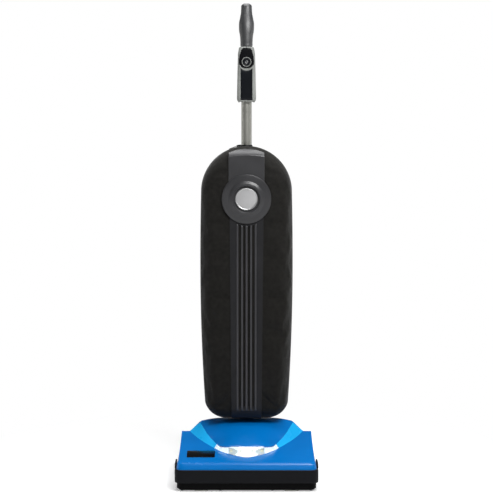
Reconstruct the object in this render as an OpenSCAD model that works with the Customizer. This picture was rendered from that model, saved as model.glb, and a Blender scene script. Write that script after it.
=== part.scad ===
// Upright battery vacuum cleaner: floor head with brush roll and motor, reclining upright with a fabric bag.
// Millimetres, +Z up, the front faces -Y. The origin is on the floor, under the middle of the bounding box.

/* [Floor head] */
// Width over the bumper
head_w = 334; // [310:1:360]
// Front of the bumper, in front of the origin
head_front = 140; // [134:1:150]
// Rear edge of the hood and chassis, behind the origin
head_rear = 70; // [67:1:71]
// Underside of the chassis above the floor
chassis_z = 6; // [5:0.5:8]
// Wall of the chassis
chassis_wall = 3; // [2:0.5:4]
// Thickness of the bumper
bumper_t = 5; // [3:0.5:7]
// Lower edge of the bumper
bumper_z = 20; // [14:1:26]
// Lower edge of the hood
hood_z = 51; // [50:1:56]
// Height of the crease round the front of the hood
crease_z = 66; // [64:1:72]
// Wall of the hood
hood_wall = 2.6; // [2:0.1:3.5]
// Height of the low deck at the rear
deck_rear_z = 98; // [94:1:104]
// Height of the dome at the rear
dome_top_z = 132.6; // [126:0.2:133]
// Half width of the headlight lens
lens_half_w = 74; // [50:1:80]
// Length of the blank badge plate
badge_w = 66; // [40:1:80]
// Depth of the blank badge plate
badge_deep = 39.5; // [20:0.5:42]
// Rear end of the bumper's side arms, in front of the origin
bumper_rear = 60; // [50:1:80]
// Height of the guards beside the hood
guard_h = 11; // [8:0.5:14]
// Half of the length of a glide pad
pad_half = 16; // [10:1:20]
// Radius of the head of a sole screw
sole_head_r = 3.2; // [2.6:0.1:3.6]

/* [Brush and drive] */
// Brush axis in front of the origin
brush_y = 95; // [92:1:97]
// Brush axis above the floor
brush_z = 29; // [28:0.5:31]
// Radius of the brush core
brush_r = 18; // [16:0.5:19]
// Radius over the bristles
bristle_r = 26.5; // [24:0.5:27]
// Radius of the brush tunnel
tunnel_r = 31; // [30:0.5:32]
// Room beside the brush, out to the edge of the bumper
brush_side = 23; // [21:0.5:37]
// Bristle tufts in one row
tufts = 24; // [12:1:30]
// Radius of the shafts of the motor and of the brush
shaft_r = 4; // [3:0.5:5]
// Motor axis behind the origin
motor_y = 15; // [10:1:20]
// Motor axis above the floor
motor_z = 52; // [50:1:56]
// Outer radius of the motor housing
motor_r = 33; // [29:0.5:36]
// Radius of the fan housing
scroll_r = 40; // [37:0.5:42]
// Radius of the suction fan
fan_r = 32; // [26:0.5:34]
// Blades of the suction fan
blades = 9; // [5:1:13]
// Radius of the motor pulley
pulley_r = 7; // [6:0.5:9]
// Thickness of the drive belt
belt_t = 1.5; // [1:0.1:1.7]

/* [Wheels and pedal] */
// Radius over the tyre
wheel_r = 34; // [30:0.5:36]
// Width of the wheel
wheel_w = 24; // [16:1:26]
// Thickness of the tyre
tyre_t = 5; // [3:0.5:8]
// Wheel axis behind the origin
wheel_y = 106; // [104:1:110]
// Inner face of the wheels, inside the edge of the bumper
wheel_in = 41; // [40:1:46]
// Radius of the wheel axle
axle_r = 5; // [4:0.5:6]
// Width of the foot pedal
pedal_w = 34; // [24:1:36]
// Radius of the pedal pin
pedal_pin_r = 3; // [2:0.5:4]

/* [Recline pivot] */
// Pivot axis behind the origin
pivot_y = 98; // [97:1:100]
// Pivot axis above the floor
pivot_z = 62; // [60:1:64]
// Radius of the neck barrel
barrel_r = 26; // [24:0.5:27]
// Radius of the hollow trunnion
trunnion_r = 18.95; // [17:0.05:20]
// Radius of the solid trunnion pin
pin_r = 8; // [6:0.5:10]
// Ends of the neck barrel, inside the edge of the bumper
barrel_in = 121; // [118:1:124]
// Running clearance of a shaft in its bore
run_clear = 0.05; // [0.02:0.01:0.1]
// Clearance of a piece in its seat
seat_clear = 0.2; // [0.1:0.05:0.3]

/* [Body] */
// Greatest width of the body
body_w = 222.6; // [210:0.2:224]
// Underside of the body
body_bottom = 134.5; // [134:0.5:137]
// Radius of the dome on top of the body
dome_r = 109; // [104:0.5:111]
// Height of the centre of that dome
dome_z = 685; // [660:1:710]
// Height at which the body is widest
belly_z = 500; // [460:5:540]
// Width just above the lower corners
foot_w = 202; // [190:1:210]
// Width of a lower corner
corner_w = 56; // [46:1:66]
// Height of a lower corner
corner_h = 45; // [38:1:52]
// Front face of the fabric behind the origin
bag_front = 8; // [4:0.5:12]
// Seam between the fabric and the back shell
seam_y = 58.8; // [56:0.2:60]
// Rear face of the back shell
shell_rear = 118; // [117:0.5:120]
// Rounding of the fabric at its edges
bag_round = 34; // [24:1:36]
// Rounding of the back shell at its edges
shell_round = 30; // [20:1:34]
// Wall of the back shell
shell_wall = 2.5; // [2:0.1:3]
// Wall of the padded fabric
bag_wall = 3; // [2:0.5:4]

/* [Front spine] */
// How far the spine stands proud of the fabric
spine_proud = 3.5; // [2:0.1:5]
// Width of the spine above the round boss
spine_top_w = 85; // [70:1:100]
// Width of the spine below the round boss
spine_w = 81; // [70:1:96]
// Width of the spine at its foot
spine_foot_w = 72; // [60:1:80]
// Upper end of the spine
spine_top_z = 784; // [776:1:786]
// Radius of the round boss
boss_r = 58.7; // [50:0.1:64]
// Height of the centre of the boss
boss_z = 670; // [650:1:690]
// Radius of the raised ring on the boss
ring_r = 42.5; // [38:0.5:46]
// Width of the raised ring
ring_w = 9.5; // [6:0.5:11]
// How far the ring stands proud of the boss
ring_proud = 4.4; // [2:0.2:6]
// Radius of the medallion
medallion_r = 26.5; // [20:0.5:30]
// Spacing of the ribs
rib_pitch = 10.8; // [9:0.1:13]
// Width of the groove between two ribs
groove_w = 5.2; // [4:0.1:6.5]
// Depth of the grooves
groove_deep = 2.4; // [1:0.1:2.6]

/* [Air path in the body] */
// Outer radius of the fill tube
fill_r = 16; // [14:0.5:16]
// Wall of the fill tube
fill_wall = 1.8; // [1.2:0.1:2.5]
// Height of the bag port
port_z = 615; // [590:1:618]
// Radius of the bag port
port_r = 15; // [12:0.5:17]
// Half of the side of the plate that holds the bag
plate_half = 46; // [40:1:50]

/* [Battery] */
// Width of the battery pack
pack_w = 97; // [80:1:110]
// Lower end of the battery pack
pack_z = 208; // [200:1:230]
// Height of the battery pack
pack_h = 176; // [140:1:190]
// Depth of the battery bay in the back shell
bay_deep = 24; // [18:1:24]
// How far the pack stands out of the back shell
pack_out = 20; // [12:1:21]

/* [Handle] */
// Radius of the handle tube
tube_r = 12.5; // [11:0.5:14]
// Wall of the handle tube
tube_wall = 1.5; // [1:0.1:2.5]
// Handle axis behind the origin
handle_y = 85; // [84:0.5:90]
// Lower end of the handle tube
tube_bottom = 640; // [636:1:660]
// Lower end of the handle housing
housing_z = 899; // [880:1:910]
// Height of the handle housing
housing_h = 131; // [126:1:150]
// Depth of the handle housing
housing_deep = 40; // [34:1:44]
// Greatest width of the handle housing
housing_w = 46; // [42:1:50]
// Width of the black front insert
insert_w = 29; // [26:1:31]
// Height of the power button above the lower end of the housing
button_up = 95; // [92:1:98]
// Radius of the power button
button_r = 9.2; // [7:0.1:10]
// Height of the grip
grip_h = 104; // [90:1:120]
// Greatest width of the grip
grip_w = 36; // [30:1:42]

/* [Hidden] */

// A cut reaches this far past the face that it opens
eps = 0.1;
// Gap between a piece of one body and a piece of another that moves against it
gap = 0.4;
$fn = 64;

// Floor head
half_w = head_w / 2;
wall_x = half_w - bumper_t;
wall_front = -head_front + bumper_t;
floor_z = chassis_z + chassis_wall;
sole_z = chassis_z - 3;
hood_half_w = half_w - 4;
brush_len = head_w - 2 * brush_side;
hood_front = -head_front + 2;
crease_y = hood_front + 7;
crease_half_w = hood_half_w - 2.5;
deck_half_w = hood_half_w - 9;
deck_slope = (deck_rear_z - crease_z) / (head_rear - crease_y);
band_front = -96;
dome_front = -80;
dome_front_z = 96;
band_half_w = hood_half_w - 24;
mouth_half_w = brush_len / 2 - 4;
tunnel_half = crease_half_w - hood_wall - 1;

// Brush and drive, along X
belt_x0 = -92;
belt_x1 = -80;
belt_w = 9;
groove_r = brush_r - 2;
axle_end = brush_len / 2 + 8;
motor_x0 = -62;
motor_x1 = 42.8;
bearing_r = 9;
bearing_w = 6;
scroll_x0 = motor_x1 + seat_clear;
scroll_x1 = 81;
scroll_wall = 2.5;
eye_r = 16;
duct_wall = 2;
duct_x0 = scroll_x1 + 3;
duct_x1 = 118;
duct_top = 70;
outlet_z0 = pivot_z - 2;
outlet_z1 = pivot_z + 28;
outlet_x1 = scroll_x1 - 1;

// Wheels, pedal and pivot
wheel_x0 = half_w - wheel_in;
fender_rear = 22;
arm_x0 = wheel_x0 - 14;
arm_x1 = wheel_x0 - 4;
barrel_half = half_w - barrel_in;
ear_x = barrel_half + 2;
ear_w = 18;
pedal_y = 80;
pedal_z = 52;
pedal_x0 = 6 - arm_x0;
pedal_x1 = pedal_x0 + pedal_w;

// Body
corner_z = body_bottom + corner_h;
tape_t = 2.7;
cover_rim = seam_y - tape_t / 2 - gap;
shell_rim = seam_y + tape_t / 2 + seat_clear;
port_y = 50;
bag_plate_t = 3;
neck_top = corner_z - 3;
bay_half_w = pack_w / 2 + 1.5;
bay_z0 = pack_z - 12;
bay_z1 = pack_z + pack_h + 2;
bay_y = shell_rear - bay_deep;
fill_y = bay_y - shell_wall - fill_r - 0.3;
dome_crest = dome_z + dome_r;

// Handle
housing_y0 = handle_y - housing_deep / 2 + 1;
housing_y1 = housing_y0 + housing_deep;
housing_top = housing_z + housing_h;
button_z = housing_z + button_up;
insert_r = insert_w / 2;
neck_low = body_bottom - 8;
neck_bend = body_bottom + 24;
bend_swell = 0.4;
pad_z = body_bottom + 21.5;
rim_in = 0.6;
socket_top = dome_crest - 29;
collar_r = tube_r + 2;
bolt_r = 3;
bolt_z = tube_bottom + 60;
boss_y = bag_front - 7;
ring_in = ring_r - ring_w - 1.3;
recess = 3;
rib_z0 = body_bottom + 27;
slider_x = -18;
slider_z = dome_z + sqrt(dome_r * dome_r - slider_x * slider_x) + seat_clear;
slider_slope = atan(-slider_x / (slider_z - dome_z));
part_y = housing_y0 + 18;
root_w = 22;
insert_top = housing_top - 15.5;
switch_low = button_z - 6;
screw_x = housing_w / 2 - 6.6;
screw_heights = [housing_z + 14, housing_z + housing_h / 2 - 5.5, housing_top - 27];

// ---------------------------------------------------------------- shared shapes

// Block from one corner to the opposite one
module block(x0, x1, y0, y1, z0, z1) {
    translate([x0, y0, z0]) cube([x1 - x0, y1 - y0, z1 - z0]);
}

// Block with upright edges rounded by r
module slab(x0, x1, y0, y1, z0, z1, r) {
    block(x0 + r, x1 - r, y0, y1, z0, z1);
    block(x0, x1, y0 + r, y1 - r, z0, z1);
    for (x = [x0 + r, x1 - r], y = [y0 + r, y1 - r])
        translate([x, y, z0]) cylinder(r = r, h = z1 - z0);
}

// Block with its edges along Y rounded by r
module slab_y(x0, x1, y0, y1, z0, z1, r) {
    block(x0 + r, x1 - r, y0, y1, z0, z1);
    block(x0, x1, y0, y1, z0 + r, z1 - r);
    for (x = [x0 + r, x1 - r], z = [z0 + r, z1 - r])
        rod_y(x, y0, y1, z, r);
}

// Round rod along each axis
module rod_x(x0, x1, y, z, r) {
    translate([x0, y, z]) rotate([0, 90, 0]) cylinder(r = r, h = x1 - x0);
}

module rod_y(x, y0, y1, z, r) {
    translate([x, y0, z]) rotate([-90, 0, 0]) cylinder(r = r, h = y1 - y0);
}

module rod_z(x, y, z0, z1, r) {
    translate([x, y, z0]) cylinder(r = r, h = z1 - z0);
}

// Tube along X
module tube_x(x0, x1, y, z, r, r_in) {
    difference() {
        rod_x(x0, x1, y, z, r);
        rod_x(x0 - eps, x1 + eps, y, z, r_in);
    }
}

// Both mirror images in X
module both_sides() {
    children();
    mirror([1, 0, 0]) children();
}

// ---------------------------------------------------------------- body outline

// Half width of the body at height z, before the lower corners
function side_x(z) = z > belly_z
    ? body_w / 2 - (body_w / 2 - dome_r) * pow((z - belly_z) / (dome_z - belly_z), 2)
    : body_w / 2 - (body_w - foot_w) / 2 * pow((belly_z - z) / (belly_z - corner_z), 2);

// Front outline of the body, drawn in by d
function outline(d) = concat(
    [for (a = [0:7.5:180]) [(dome_r - d) * cos(a), dome_z + (dome_r - d) * sin(a)]],
    [for (i = [1:5]) let (z = dome_z + (corner_z - dome_z) * i / 6) [d - side_x(z), z]],
    [for (a = [180:15:270]) [corner_w - foot_w / 2 + (corner_w - d) * cos(a), corner_z + (corner_h - d) * sin(a)]],
    [for (a = [270:15:360]) [foot_w / 2 - corner_w + (corner_w - d) * cos(a), corner_z + (corner_h - d) * sin(a)]],
    [for (i = [5:-1:1]) let (z = dome_z + (corner_z - dome_z) * i / 6) [side_x(z) - d, z]]);

// That outline as a plate between two depths
module outline_plate(y0, y1, d) {
    translate([0, y1, 0]) rotate([90, 0, 0]) linear_extrude(y1 - y0) polygon(outline(d));
}

// Shell half: from the rim at y_rim to the face at y_face, rounded in by r, all drawn in by d
module pillow(y_rim, y_face, r, d) {
    hull()
        for (t = [0:15:90])
            outline_plate(y_rim + (y_face - y_rim) * sin(t), y_rim + (y_face - y_rim) * sin(t) + 0.01,
                          d + r * (1 - cos(t)));
}

// ---------------------------------------------------------------- floor head casings

// Height of the low deck of the hood at depth y
function deck_z(y) = crease_z + deck_slope * (y - crease_y);

// Rounded distance from the middle plane
function soft(x) = sqrt(x * x + 225) - 15;

// Plan of the two edges of the curved band round the dome
function band_outer(x) = band_front + 0.478 * soft(x) + 0.0000397 * pow(abs(x), 3);
function band_inner(x) = dome_front + 0.0011056 * pow(abs(x), 2.49);

// Half width of the dome top at depth y
function dome_x(y) = pow((y - dome_front) / 0.0011056, 1 / 2.49);

// Crown of the dome along the middle, and its edge
function crown_z(u) = dome_front_z + (dome_top_z - dome_front_z) * sin(90 * pow(u, 0.9));
function edge_z(u) = dome_front_z - 4 + (dome_top_z - dome_front_z - 8.6) * pow(u, 1.3);

// Low deck of the hood, drawn in by d
module deck(d) {
    low = hood_z + (d > 0 ? -eps : 0);
    hull() {
        slab(d - hood_half_w, hood_half_w - d, hood_front + d, head_rear - d, low, low + 1, 14);
        slab(d - crease_half_w, crease_half_w - d, crease_y + d, head_rear - d,
             crease_z - 1 - d, crease_z - d, 12);
        block(d - deck_half_w, deck_half_w - d, head_rear - d - 0.5, head_rear - d,
              deck_rear_z - d - 0.5, deck_rear_z - d);
    }
}

// Dome on the deck, drawn in by d
module dome(d) {
    rear = head_rear - d;
    hull() {
        multmatrix([[1, 0, 0, 0], [0, 1, 0, 0], [0, deck_slope, 1, crease_z - deck_slope * crease_y - 9 - d]])
            linear_extrude(8)
                polygon([for (i = [-16:16]) let (x = (band_half_w - d) * i / 16) [x, min(rear, band_outer(x) + d)]]);
        for (u = [0.01, 0.12, 0.28, 0.5, 0.75, 1])
            for (a = [-90:18:90])
                let (y = dome_front + (rear - dome_front) * u, half = dome_x(y) - d)
                    translate([half * sin(a), y - 0.1, edge_z(u) + (crown_z(u) - edge_z(u)) * cos(a) - d - 0.1])
                        cube(0.1);
    }
}

// Plan region of the headlight lens, grown by g, as a prism
module lens_region(g) {
    half = lens_half_w + g;
    steps = 12;
    low = crease_z - deck_slope * crease_y - hood_wall - (g > 0 ? 1 : 0);
    multmatrix([[1, 0, 0, 0], [0, 1, 0, 0], [0, deck_slope, 1, low]])
        linear_extrude(60)
            polygon(concat(
                [for (i = [-steps:steps]) let (x = half * i / steps) [x, band_outer(x) - g - 0.5]],
                [for (i = [steps:-1:-steps]) let (x = half * i / steps) [x, band_inner(x) + g]]));
}

// Blue top shell
module hood() {
    color("#0a74d0") {
        difference() {
            union() {
                deck(0);
                dome(0);
                both_sides()
                    tube_x(arm_x0 - 6, hood_half_w - 4, wheel_y, wheel_r, wheel_r + 7, wheel_r + 4);
            }
            deck(hood_wall);
            dome(hood_wall);
            lens_region(seat_clear);
            block(-half_w, half_w, -head_front, wheel_y + 60, -20, hood_z);
            block(-half_w, half_w, wheel_y + fender_rear, wheel_y + 60, -20, 90);
            both_sides() {
                block(wheel_x0 - 3, wheel_x0 + wheel_w + 1, wheel_y - wheel_r - 6, head_rear + eps, hood_z - 1, wheel_r + 38);
                rod_x(wheel_x0 - 3, wheel_x0 + wheel_w + 1, wheel_y, wheel_r, wheel_r + 4);
            }
            block(-ear_x - ear_w - 4, outlet_x1 + 2, head_rear - hood_wall - 1, head_rear + eps, hood_z - 1, outlet_z1 + 3);
            block(pedal_x0 - 3, pedal_x1 + 3, head_rear - hood_wall - 1, head_rear + eps, hood_z - 1, pedal_z + 14);
        }
    }
}

// Clear lens in the middle of the band
module headlight_lens() {
    color("#e8f6fb") {
        intersection() {
            difference() {
                dome(0);
                dome(hood_wall);
            }
            lens_region(0);
        }
    }
}

// Printed board behind the lens, on two posts of the chassis
module headlight_board() {
    color("#2f6b3a") {
        block(-42, 42, -66, -64.4, duct_top + seat_clear, 90);
    }
}

module headlight_leds() {
    color("#fff6d8") {
        for (x = [-36, -12, 12, 36])
            block(x - 3, x + 3, -68, -66, 77, 83);
    }
}

// Blank plate on the front left of the deck
module badge_plate() {
    color("#101418") {
        multmatrix([[1, 0, 0, 0], [0, 1, 0, 0], [0, deck_slope, 1, crease_z - deck_slope * crease_y + seat_clear]])
            slab(-lens_half_w - badge_w, -lens_half_w, crease_y + 33.5, crease_y + 33.5 + badge_deep, 0, 1, 2);
    }
}

// Soft guard round the front and the sides
module bumper() {
    color("#17181a") {
        difference() {
            slab(-half_w, half_w, -head_front, head_rear + 30, bumper_z, hood_z - seat_clear, 14);
            slab(-wall_x - seat_clear, wall_x + seat_clear, wall_front - seat_clear, head_rear + 60,
                 bumper_z - eps, hood_z + eps, 11);
            block(-half_w - eps, half_w + eps, -bumper_rear, head_rear + 70, bumper_z - eps, hood_z + eps);
        }
    }
}

// Black lobes that stand on the bumper beside the hood
module side_guards() {
    color("#141416") {
        both_sides()
            difference() {
                hull()
                    for (y = [-bumper_rear - 2 - guard_h, -head_front + 18 + guard_h])
                        rod_x(hood_half_w + 0.5, half_w, y, hood_z, guard_h);
                block(0, half_w + eps, -head_front, 0, hood_z - guard_h - eps, hood_z);
            }
    }
}

// Lower casing: tray, brush tunnel, wheel arms and pivot ear
module chassis() {
    color("#202124") {
        difference() {
            union() {
                difference() {
                    slab(-wall_x, wall_x, wall_front, head_rear, chassis_z, hood_z - seat_clear, 14);
                    slab(chassis_wall - wall_x, wall_x - chassis_wall, wall_front + chassis_wall,
                         head_rear - chassis_wall, floor_z, hood_z + eps, 11);
                    block(-ear_x - ear_w, outlet_x1 + seat_clear, head_rear - chassis_wall - 1, head_rear + eps,
                          outlet_z0 - seat_clear, hood_z + eps);
                }
                intersection() {
                    rod_x(-tunnel_half, tunnel_half, -brush_y, brush_z, tunnel_r + chassis_wall);
                    block(-wall_x, wall_x, wall_front + 1, -brush_y + tunnel_r + chassis_wall, floor_z - 1, 70);
                }
                both_sides() {
                    block(arm_x0, arm_x1, head_rear - 20, wheel_y, chassis_z + 8, hood_z - 3);
                    rod_x(arm_x0, arm_x1, wheel_y, wheel_r, axle_r + 8);
                    block(26, 34, -70, -62, 48, duct_top);
                }
                rod_x(-ear_x - ear_w, -ear_x, pivot_y, pivot_z, pin_r + 12);
                block(-ear_x - ear_w, -ear_x, head_rear - 10, pivot_y, floor_z, pivot_z + 12);
                block(-ear_x - ear_w, outlet_x1, head_rear - 4, head_rear, floor_z, outlet_z0 - seat_clear);
            }
            intersection() {
                rod_x(-tunnel_half - eps, tunnel_half + eps, -brush_y, brush_z, tunnel_r);
                block(-wall_x, wall_x, -brush_y - tunnel_r, -brush_y + tunnel_r, chassis_z - eps, 80);
            }
            block(-mouth_half_w, mouth_half_w, -brush_y - tunnel_r + 4, -brush_y + tunnel_r - 4,
                  chassis_z - eps, brush_z - tunnel_r / 2);
            block(belt_x0 - 2, belt_x1 + 2, -brush_y, -brush_y + tunnel_r + 12, floor_z + 1, 60);
            block(duct_x0 + duct_wall, duct_x1 - duct_wall, -brush_y + 20, -brush_y + tunnel_r + 6, 16, 54);
            rod_x(-ear_x - ear_w - eps, -ear_x + eps, pivot_y, pivot_z, pin_r + run_clear);
            rod_x(-ear_x - ear_w - eps, -ear_x - ear_w + 6, pedal_y, pedal_z, pedal_pin_r + run_clear);
            rod_x(-arm_x0 - 6, -arm_x0 + eps, pedal_y, pedal_z - 8, pedal_pin_r + run_clear);
            both_sides()
                rod_x(arm_x0 - eps, arm_x1 + eps, wheel_y, wheel_r, axle_r + run_clear);
            sole_holes(1.6);
        }
    }
}

// Places of the sole plate's screws
module at_sole_screws() {
    for (x = [12 - wall_x, -60, 60, wall_x - 12], y = [10 - head_front, 35 - brush_y])
        translate([x, y, 0]) children();
}

module sole_holes(r) {
    at_sole_screws() rod_z(0, 0, sole_z - eps, floor_z + eps, r);
}

// Steel plate with the suction mouth
module sole_plate() {
    color("#b9bcc0") {
        difference() {
            slab(4 - wall_x, wall_x - 4, wall_front + 1, 43 - brush_y, sole_z, chassis_z, 12);
            block(-mouth_half_w, mouth_half_w, -brush_y - tunnel_r + 4, -brush_y + tunnel_r - 4,
                  sole_z - eps, chassis_z + eps);
            sole_holes(1.6);
        }
    }
}

module sole_screws() {
    color("#8c9096") {
        at_sole_screws() {
            rod_z(0, 0, sole_z - 1.4, floor_z, 1.5);
            difference() {
                rod_z(0, 0, sole_z - 1.5, sole_z, sole_head_r);
                block(-0.5, 0.5, -2, 2, sole_z - 1.6, sole_z - 0.8);
                block(-2, 2, -0.5, 0.5, sole_z - 1.6, sole_z - 0.8);
            }
        }
    }
}

// Low-friction pads that carry the front of the head
module glide_pads() {
    color("#d9d9d4") {
        for (x = [39 - brush_len / 2, brush_len / 2 - 39], y = [10.5 - head_front, 37 - brush_y])
            slab(x - pad_half, x + pad_half, y - pad_half / 4, y + pad_half / 4, 0, sole_z, 3.5);
    }
}

// ---------------------------------------------------------------- brush roll

module brush_core() {
    color("#2a2b2e") {
        difference() {
            rod_x(-brush_len / 2, brush_len / 2, -brush_y, brush_z, brush_r);
            tube_x(belt_x0, belt_x1, -brush_y, brush_z, brush_r + 1, groove_r);
            rod_x(-brush_len, brush_len, -brush_y, brush_z, shaft_r + run_clear);
        }
    }
}

// Two helical rows of tufts, with room for the belt
module brush_bristles() {
    color("#101010") {
        for (row = [0, 180], i = [0:tufts - 1]) {
            x = -brush_len / 2 + 8 + (brush_len - 16) * i / (tufts - 1);
            if (x < belt_x0 - 5 || x > belt_x1 + 5)
                translate([x, -brush_y, brush_z])
                    rotate([row + 40 + 300 * i / (tufts - 1), 0, 0])
                        rod_z(0, 0, groove_r, bristle_r, 1.8);
        }
    }
}

module brush_axle() {
    color("#b4b7bb") {
        rod_x(-axle_end, axle_end, -brush_y, brush_z, shaft_r);
    }
}

module brush_end_blocks() {
    color("#34363a") {
        both_sides()
            difference() {
                intersection() {
                    rod_x(brush_len / 2 + 2, tunnel_half, -brush_y, brush_z, tunnel_r - seat_clear);
                    block(0, half_w, -brush_y - 20, -brush_y + 20, floor_z + 0.5, 90);
                }
                rod_x(0, axle_end + 0.5, -brush_y, brush_z, shaft_r + run_clear);
            }
    }
}

// ---------------------------------------------------------------- motor, fan and ducts

module motor_housing() {
    color("#8d9196") {
        difference() {
            rod_x(motor_x0, motor_x1, motor_y, motor_z, motor_r);
            difference() {
                rod_x(motor_x0 + 2.5, motor_x1 - 2.5, motor_y, motor_z, motor_r - 2.5);
                rod_x(motor_x0, motor_x0 + bearing_w, motor_y, motor_z, bearing_r + 4);
                rod_x(motor_x1 - bearing_w, motor_x1, motor_y, motor_z, bearing_r + 4);
            }
            rod_x(motor_x0 - eps, motor_x1 + eps, motor_y, motor_z, bearing_r + run_clear);
        }
    }
}

module motor_bearings() {
    color("#c9ccd0") {
        tube_x(motor_x0, motor_x0 + bearing_w, motor_y, motor_z, bearing_r, shaft_r + run_clear);
        tube_x(motor_x1 - bearing_w, motor_x1, motor_y, motor_z, bearing_r, shaft_r + run_clear);
    }
}

// Rubber saddles between the motor and the floor of the chassis
module motor_cradles() {
    color("#1c1c1c") {
        for (x = [motor_x0 + 10, motor_x1 - 22])
            difference() {
                block(x, x + 12, motor_y - motor_r - 5, motor_y + motor_r + 5, floor_z, motor_z);
                rod_x(x - eps, x + 12 + eps, motor_y, motor_z, motor_r + seat_clear);
            }
    }
}

module motor_shaft() {
    color("#b4b7bb") {
        rod_x(belt_x0 - 1, scroll_x1 - 7, motor_y, motor_z, shaft_r);
    }
}

module motor_armature() {
    color("#7a4a26") {
        tube_x(motor_x0 + 18, motor_x1 - 18, motor_y, motor_z, motor_r - 8, shaft_r + run_clear);
    }
}

module drive_pulley() {
    color("#9a9da1") {
        difference() {
            union() {
                rod_x(belt_x0, belt_x1, motor_y, motor_z, pulley_r);
                rod_x(belt_x0, belt_x0 + 1, motor_y, motor_z, pulley_r + 2);
                rod_x(belt_x1 - 1, belt_x1, motor_y, motor_z, pulley_r + 2);
            }
            rod_x(belt_x0 - eps, belt_x1 + eps, motor_y, motor_z, shaft_r + run_clear);
        }
    }
}

// Flat belt from the motor pulley to the groove of the brush
module drive_belt() {
    mid = (belt_x0 + belt_x1) / 2;
    color("#141414") {
        translate([mid - belt_w / 2, 0, 0])
            rotate([90, 0, 90])
                linear_extrude(belt_w)
                    difference() {
                        belt_loop(belt_t + 0.4);
                        belt_loop(0.4);
                    }
    }
}

module belt_loop(g) {
    hull() {
        translate([motor_y, motor_z]) circle(r = pulley_r + g, $fn = 48);
        translate([-brush_y, brush_z]) circle(r = groove_r + g, $fn = 48);
    }
}

module suction_fan() {
    fan_x0 = scroll_x0 + 7;
    color("#55585c") {
        difference() {
            union() {
                rod_x(fan_x0, fan_x0 + 3, motor_y, motor_z, fan_r);
                rod_x(fan_x0, fan_x0 + 22, motor_y, motor_z, shaft_r + 4);
                for (i = [0:blades - 1])
                    translate([fan_x0 + 2, motor_y, motor_z])
                        rotate([360 * i / blades, 0, 0])
                            block(0, 15, -1, 1, shaft_r + 2, fan_r - 1);
            }
            rod_x(fan_x0 - eps, fan_x0 + 30, motor_y, motor_z, shaft_r + run_clear);
        }
    }
}

// Round fan casing with its outlet to the rear
module fan_housing() {
    color("#3b3d41") {
        difference() {
            union() {
                rod_x(scroll_x0, scroll_x1, motor_y, motor_z, scroll_r);
                rod_x(scroll_x1 - 1, duct_x0 + duct_wall, motor_y, motor_z, eye_r);
                block(scroll_x0, outlet_x1, motor_y, head_rear - 12, outlet_z0, outlet_z1);
                block(scroll_x0 + 6, scroll_x1 - 6, motor_y - 14, motor_y + 14, floor_z, motor_z);
            }
            rod_x(scroll_x0 + scroll_wall, scroll_x1 - scroll_wall, motor_y, motor_z, scroll_r - scroll_wall);
            rod_x(scroll_x1 - 10, duct_x1, motor_y, motor_z, eye_r - 2);
            rod_x(scroll_x0 - 10, scroll_x0 + 10, motor_y, motor_z, shaft_r + 1.5);
            block(scroll_x0 + scroll_wall, outlet_x1 - duct_wall, motor_y + 4, head_rear,
                  outlet_z0 + duct_wall, outlet_z1 - duct_wall);
        }
    }
}

// Box duct from the brush tunnel to the eye of the fan
module intake_duct() {
    color("#303236") {
        difference() {
            block(duct_x0, duct_x1, -brush_y + tunnel_r + chassis_wall + seat_clear, motor_y + 30, floor_z, duct_top);
            block(duct_x0 + duct_wall, duct_x1 - duct_wall, -brush_y, motor_y + 30 - duct_wall,
                  floor_z + duct_wall, duct_top - duct_wall);
            rod_x(duct_x0 - eps, duct_x0 + duct_wall + eps, motor_y, motor_z, eye_r + seat_clear);
        }
    }
}

// Elbow that ends in the hollow trunnion of the recline pivot
module exhaust_elbow() {
    color("#26272a") {
        difference() {
            union() {
                block(ear_x, outlet_x1, head_rear - 12 + seat_clear, pivot_y, outlet_z0, outlet_z1);
                rod_x(ear_x, outlet_x1, pivot_y, pivot_z, trunnion_r + 6);
                block(ear_x, outlet_x1, pivot_y - 14, pivot_y + 14, pivot_z, outlet_z1);
                rod_x(18, ear_x + 1, pivot_y, pivot_z, trunnion_r);
                block(ear_x, outlet_x1, head_rear + seat_clear, pivot_y, pivot_z - 14, outlet_z0 + 4);
            }
            block(ear_x + duct_wall, outlet_x1 - duct_wall, head_rear - 20, pivot_y + 12,
                  outlet_z0 + duct_wall, outlet_z1 - duct_wall);
            rod_x(ear_x + duct_wall, outlet_x1 - duct_wall, pivot_y, pivot_z, trunnion_r + 3);
            rod_x(18 - eps, ear_x + 4, pivot_y, pivot_z, trunnion_r - 2.5);
        }
    }
}

// ---------------------------------------------------------------- pivot, wheels and pedal

module pivot_pins() {
    color("#b4b7bb") {
        rod_x(-ear_x - ear_w, -24, pivot_y, pivot_z, pin_r);
        rod_x(-arm_x0 - 5, -ear_x - ear_w + 5, pedal_y, pedal_z, pedal_pin_r);
    }
}

module wheel_axles() {
    color("#b4b7bb") {
        both_sides() {
            rod_x(arm_x0, wheel_x0 + wheel_w + 1, wheel_y, wheel_r, axle_r);
            rod_x(arm_x0 - 2, arm_x0, wheel_y, wheel_r, axle_r + 2);
        }
    }
}

// Hub and tyre of one wheel on the +X side
module hub() {
    difference() {
        union() {
            tube_x(wheel_x0 + 1, wheel_x0 + wheel_w - 1, wheel_y, wheel_r, wheel_r - tyre_t, wheel_r - tyre_t - 4);
            rod_x(wheel_x0, wheel_x0 + wheel_w, wheel_y, wheel_r, axle_r + 4);
            rod_x(wheel_x0 + wheel_w / 2 - 2, wheel_x0 + wheel_w / 2 + 2, wheel_y, wheel_r, wheel_r - tyre_t - 2);
        }
        rod_x(wheel_x0 - eps, wheel_x0 + wheel_w + eps, wheel_y, wheel_r, axle_r + run_clear);
    }
}

module tyre() {
    tube_x(wheel_x0 + 1, wheel_x0 + wheel_w - 1, wheel_y, wheel_r, wheel_r, wheel_r - tyre_t + 0.02);
}

module wheel_right() {
    color("#3a3c40") hub();
}

module tyre_right() {
    color("#161616") tyre();
}

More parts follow.
